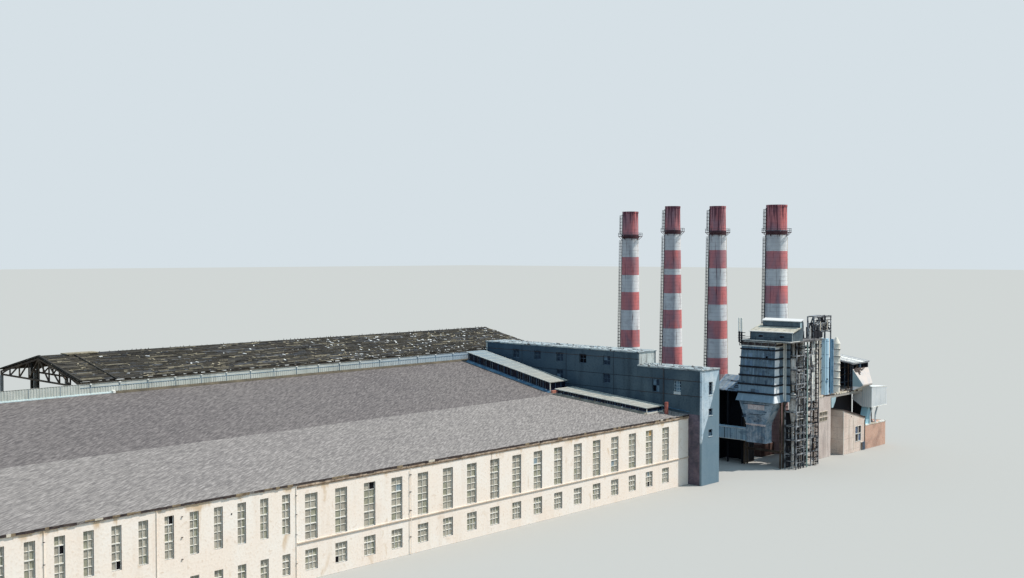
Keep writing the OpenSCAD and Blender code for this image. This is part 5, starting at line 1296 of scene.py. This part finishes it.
for i in range(40):
    x, z = between(20980, 21360), between(1600, 2500)
    size = between(12, 44)
    aside = x - shafts["xs"][0]
    y = shafts["y"] - math.sqrt(max(shafts["skin"] ** 2 - aside ** 2, 0))
    if abs(aside) < 96 and y > -560:
        addBox(trim, (x, y - 12, z), (x + size, y + 30, z + size * 0.8), draw.choice((0, 3, 5)))
first, middle, last = shafts["xs"]
y = shafts["y"]
addBox(trim, (middle - 60, y - 96, 1980), (middle + 20, y - 60, 2010))
addBox(trim, (middle - 100, y - 98, 1900), (middle - 40, y - 40, 1960), 2)
for z in (1940, 2280, 2620, 2960):
    addRing(trim, Matrix.Translation((middle, y, 0)), 97, 101, z, z + 9, 2, 24)
for x, finish in ((first, 3), (last, 0)):
    for k in range(1, 7):
        z = platform + shafts["ringPitch"] * k
        addRing(trim, Matrix.Translation((x, y, 0)), 100, 116, z - 8, z + 2, finish, 24)
makePiece("stand_and_shaft_trim", trim, [darkAngle, creamPaint, deepBlue, rackSteel, rustySteel, paleLagging])
print("shafts made")

# platform, shed, hood, annex and brick house
trim = bmesh.new()
draw = random.Random(71)


def addFrame(front, back, finish, *bars):
    # the bars of a window frame, each with its left, lower, right and upper edge
    for left, low, right, high in bars:
        addBox(trim, (left, front, low), (right, back, high), finish)


for x, end in lengths(20732, 24030, 30, 140, 24032):
    addBox(trim, (x, -582 - between(3, 12), platform - between(14, 40)),
           (end, -560, platform + between(2, 16)), pick((0, 1, 2), (60, 22, 18)))
for i in range(30):
    x, size = between(22120, 23120), between(14, 50)
    y = between(-560, -300)
    addBox(trim, (x, y, platform - 2), (x + size * 1.5, y + size, platform + size * between(0.3, 1.0)),
           draw.choice((0, 1, 2)))
addPrism(trim, [(21965, -592, 1500), (22225, -592, 1500), (22190, -592, 1400), (22070, -592, 1240),
                (21985, -592, 1240)], (0, 8, 0), 3)
addBox(trim, (21962, -588, 1470), (22300, -560, 1500), 2)
for x in (21382, 21522, 21662):
    for z in (950, 1090):
        addFrame(-590, -578, 0, (x - 8, z - 8, x + 118, z), (x - 8, z + 90, x + 118, z + 98),
                 (x - 8, z, x, z + 90), (x + 110, z, x + 118, z + 90), (x + 51, z, x + 58, z + 90))
        addBox(trim, (x, -572, z), (x + 110, -568, z + 90), 2)
# shed: roof sheets, inner posts and racks in the dark
shed = {"front": -582, "depth": 882, "eave": 2290, "rise": 128, "pitch": 44}
shedPlace = (Matrix.Translation((0, shed["front"], shed["eave"]))
             @ Matrix.Rotation(math.atan2(shed["rise"], shed["depth"]), 4, "X"))
for x in range(23124, 24050, shed["pitch"]):
    addBox(trim, (x, -26, 30), (x + 30, 916, 35 + between(0, 3)), draw.choice((4, 4, 5)), shedPlace)
for i in range(16):
    x, y = between(23180, 23960), draw.choice((-420, -200, 60, 240))
    top = shed["eave"] + (y - shed["front"]) * shed["rise"] / shed["depth"]
    addBar(trim, (x, y, platform), (x, y, top), between(10, 26), draw.choice((1, 6, 6)))
for z in (1760, 1960, 2150):
    addBox(trim, (23170, -210, z), (23980, -190, z + 16), draw.choice((1, 6)))
addBar(trim, (23560, -572, platform), (23560, -572, 2290), 46, 6)
addBar(trim, (23400, -572, platform), (23400, -572, 2290), 18, 1)
# hood: seams, lips, stains and the chute's torn head, whose very dark patches are painted shade of holes in the
# sheet
hood = {"x": 23700, "end": 24590, "y": -850, "foot": 1110, "top": 1670, "fall": 60, "seam": 74}
left, right, face, foot, top = [hood[key] for key in ("x", "end", "y", "foot", "top")]
for x in range(left + 10, right, hood["seam"]):
    eaves = top - hood["fall"] * (x - left) / (right - left)
    addBox(trim, (x, face - 4, foot + 4), (x + 6, face + 2, eaves - 4), 5)
addBox(trim, (left - 3, face - 6, foot - 4), (right + 3, face + 4, foot + 12), 5)
addPrism(trim, [(left - 4, face - 6, top - 14), (right + 4, face - 6, top - 74),
                (right + 4, face - 6, top - 58), (left - 4, face - 6, top + 2)], (0, 14, 0), 5)
chuteTop, outward = Vector((0, -586, 2190)), Vector((0, -0.86, 0.5))
chuteOut = Vector((0, -235, -400)).normalized()
for x, width, u, length in ((23190, 70, 30, 90), (23240, 120, 10, 120), (23330, 110, 50, 110),
                            (23420, 130, 20, 60), (23540, 90, 60, 40), (23300, 60, 150, 70),
                            (23700, 60, 20, 40)):
    corners = [(chuteTop + chuteOut * v + outward * lift).yz for v, lift in
               ((u, 2), (u + length, 2), (u + length, 7), (u, 7))]
    addPrism(trim, [(x, *point) for point in corners], (width, 0, 0), 2)
for y in range(-840, -560, 60):
    addBox(trim, (left - 4, y, foot + 6), (left + 2, y + 6, top - 8), 3)
# annex: window frames and panes, white corner, door surround, slatted sheet, dark strip, vent and pipes
for i in range(2):
    for k in range(2):
        x, z = 22982 + i * 165, 270 + k * 205
        addFrame(-757, -744, 5, (x - 7, z - 7, x + 160, z + 3), (x - 7, z + 190, x + 160, z + 200),
                 (x - 7, z, x + 3, z + 193), (x + 150, z, x + 160, z + 193))
        addBox(trim, (x, -738, z), (x + 153, -734, z + 193), 7 if (i + k) % 2 else 2)
addBoxes(trim, ((22326, -756, 0), (22340, -744, 1128), 5), ((23276, -757, 0), (23284, -746, 216), 5),
         ((23276, -757, 210), (23408, -746, 222), 5), ((23402, -762, 0), (23524, -748, 214), 8))
for x in range(23410, 23524, 22):
    addBox(trim, (x, -765, 4), (x + 5, -760, 210), 6)
addBox(trim, (23500, -760, 214), (23530, -748, 800), 2)
addBar(trim, (22757, -754, 952), (22757, -746, 952), 34, 2, 10)
for x in (22640, 22880):
    addBox(trim, (x, -754, 60), (x + 10, -748, 900))
# brick house: a pale broken coping with lumps, its end strip, and the annex's roof edge beside it
for x, end in lengths(23532, 24740, 40, 130, 24742):
    addBox(trim, (x, -756, 640 - between(6, 22)), (end, -700, 640 + between(6, 30)), pick((5, 0), (70, 30)))
for i in range(14):
    x, y, size = between(23560, 24700), between(-720, -220), between(16, 50)
    addBox(trim, (x, y, 638), (x + size * 1.4, y + size, 640 + size * 0.6), draw.choice((0, 5)))
addBox(trim, (24736, -756, 628), (24741, -150, 652), 5)
addPrism(trim, [(22318, -764, 1147), (23532, -764, 844), (23532, -764, 880), (22318, -764, 1182)], (0, 6, 0), 2)
shadePane = glazing("shadePane", (60, 84, 116), (110, 120, 140), 0.4)
blueGrey = coat("blueGrey", (96, 112, 130), (130, 144, 158), (54, 64, 78), patchScale=9)
shedTin = coat("shedTin", (150, 154, 156), (168, 172, 172), (96, 98, 102), patchScale=6, runs=0.0, specks=0.5)
makePiece("yard_trim", trim, [edgePale, rustySteel, edgeBlack, skyPaint, shedTin, capPaint, slateBar, shadePane,
                              blueGrey])
print("yard buildings made")

low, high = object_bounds()
{"cad": [list(cadLow), list(cadHigh)], "visual": [list(low), list(high)]}
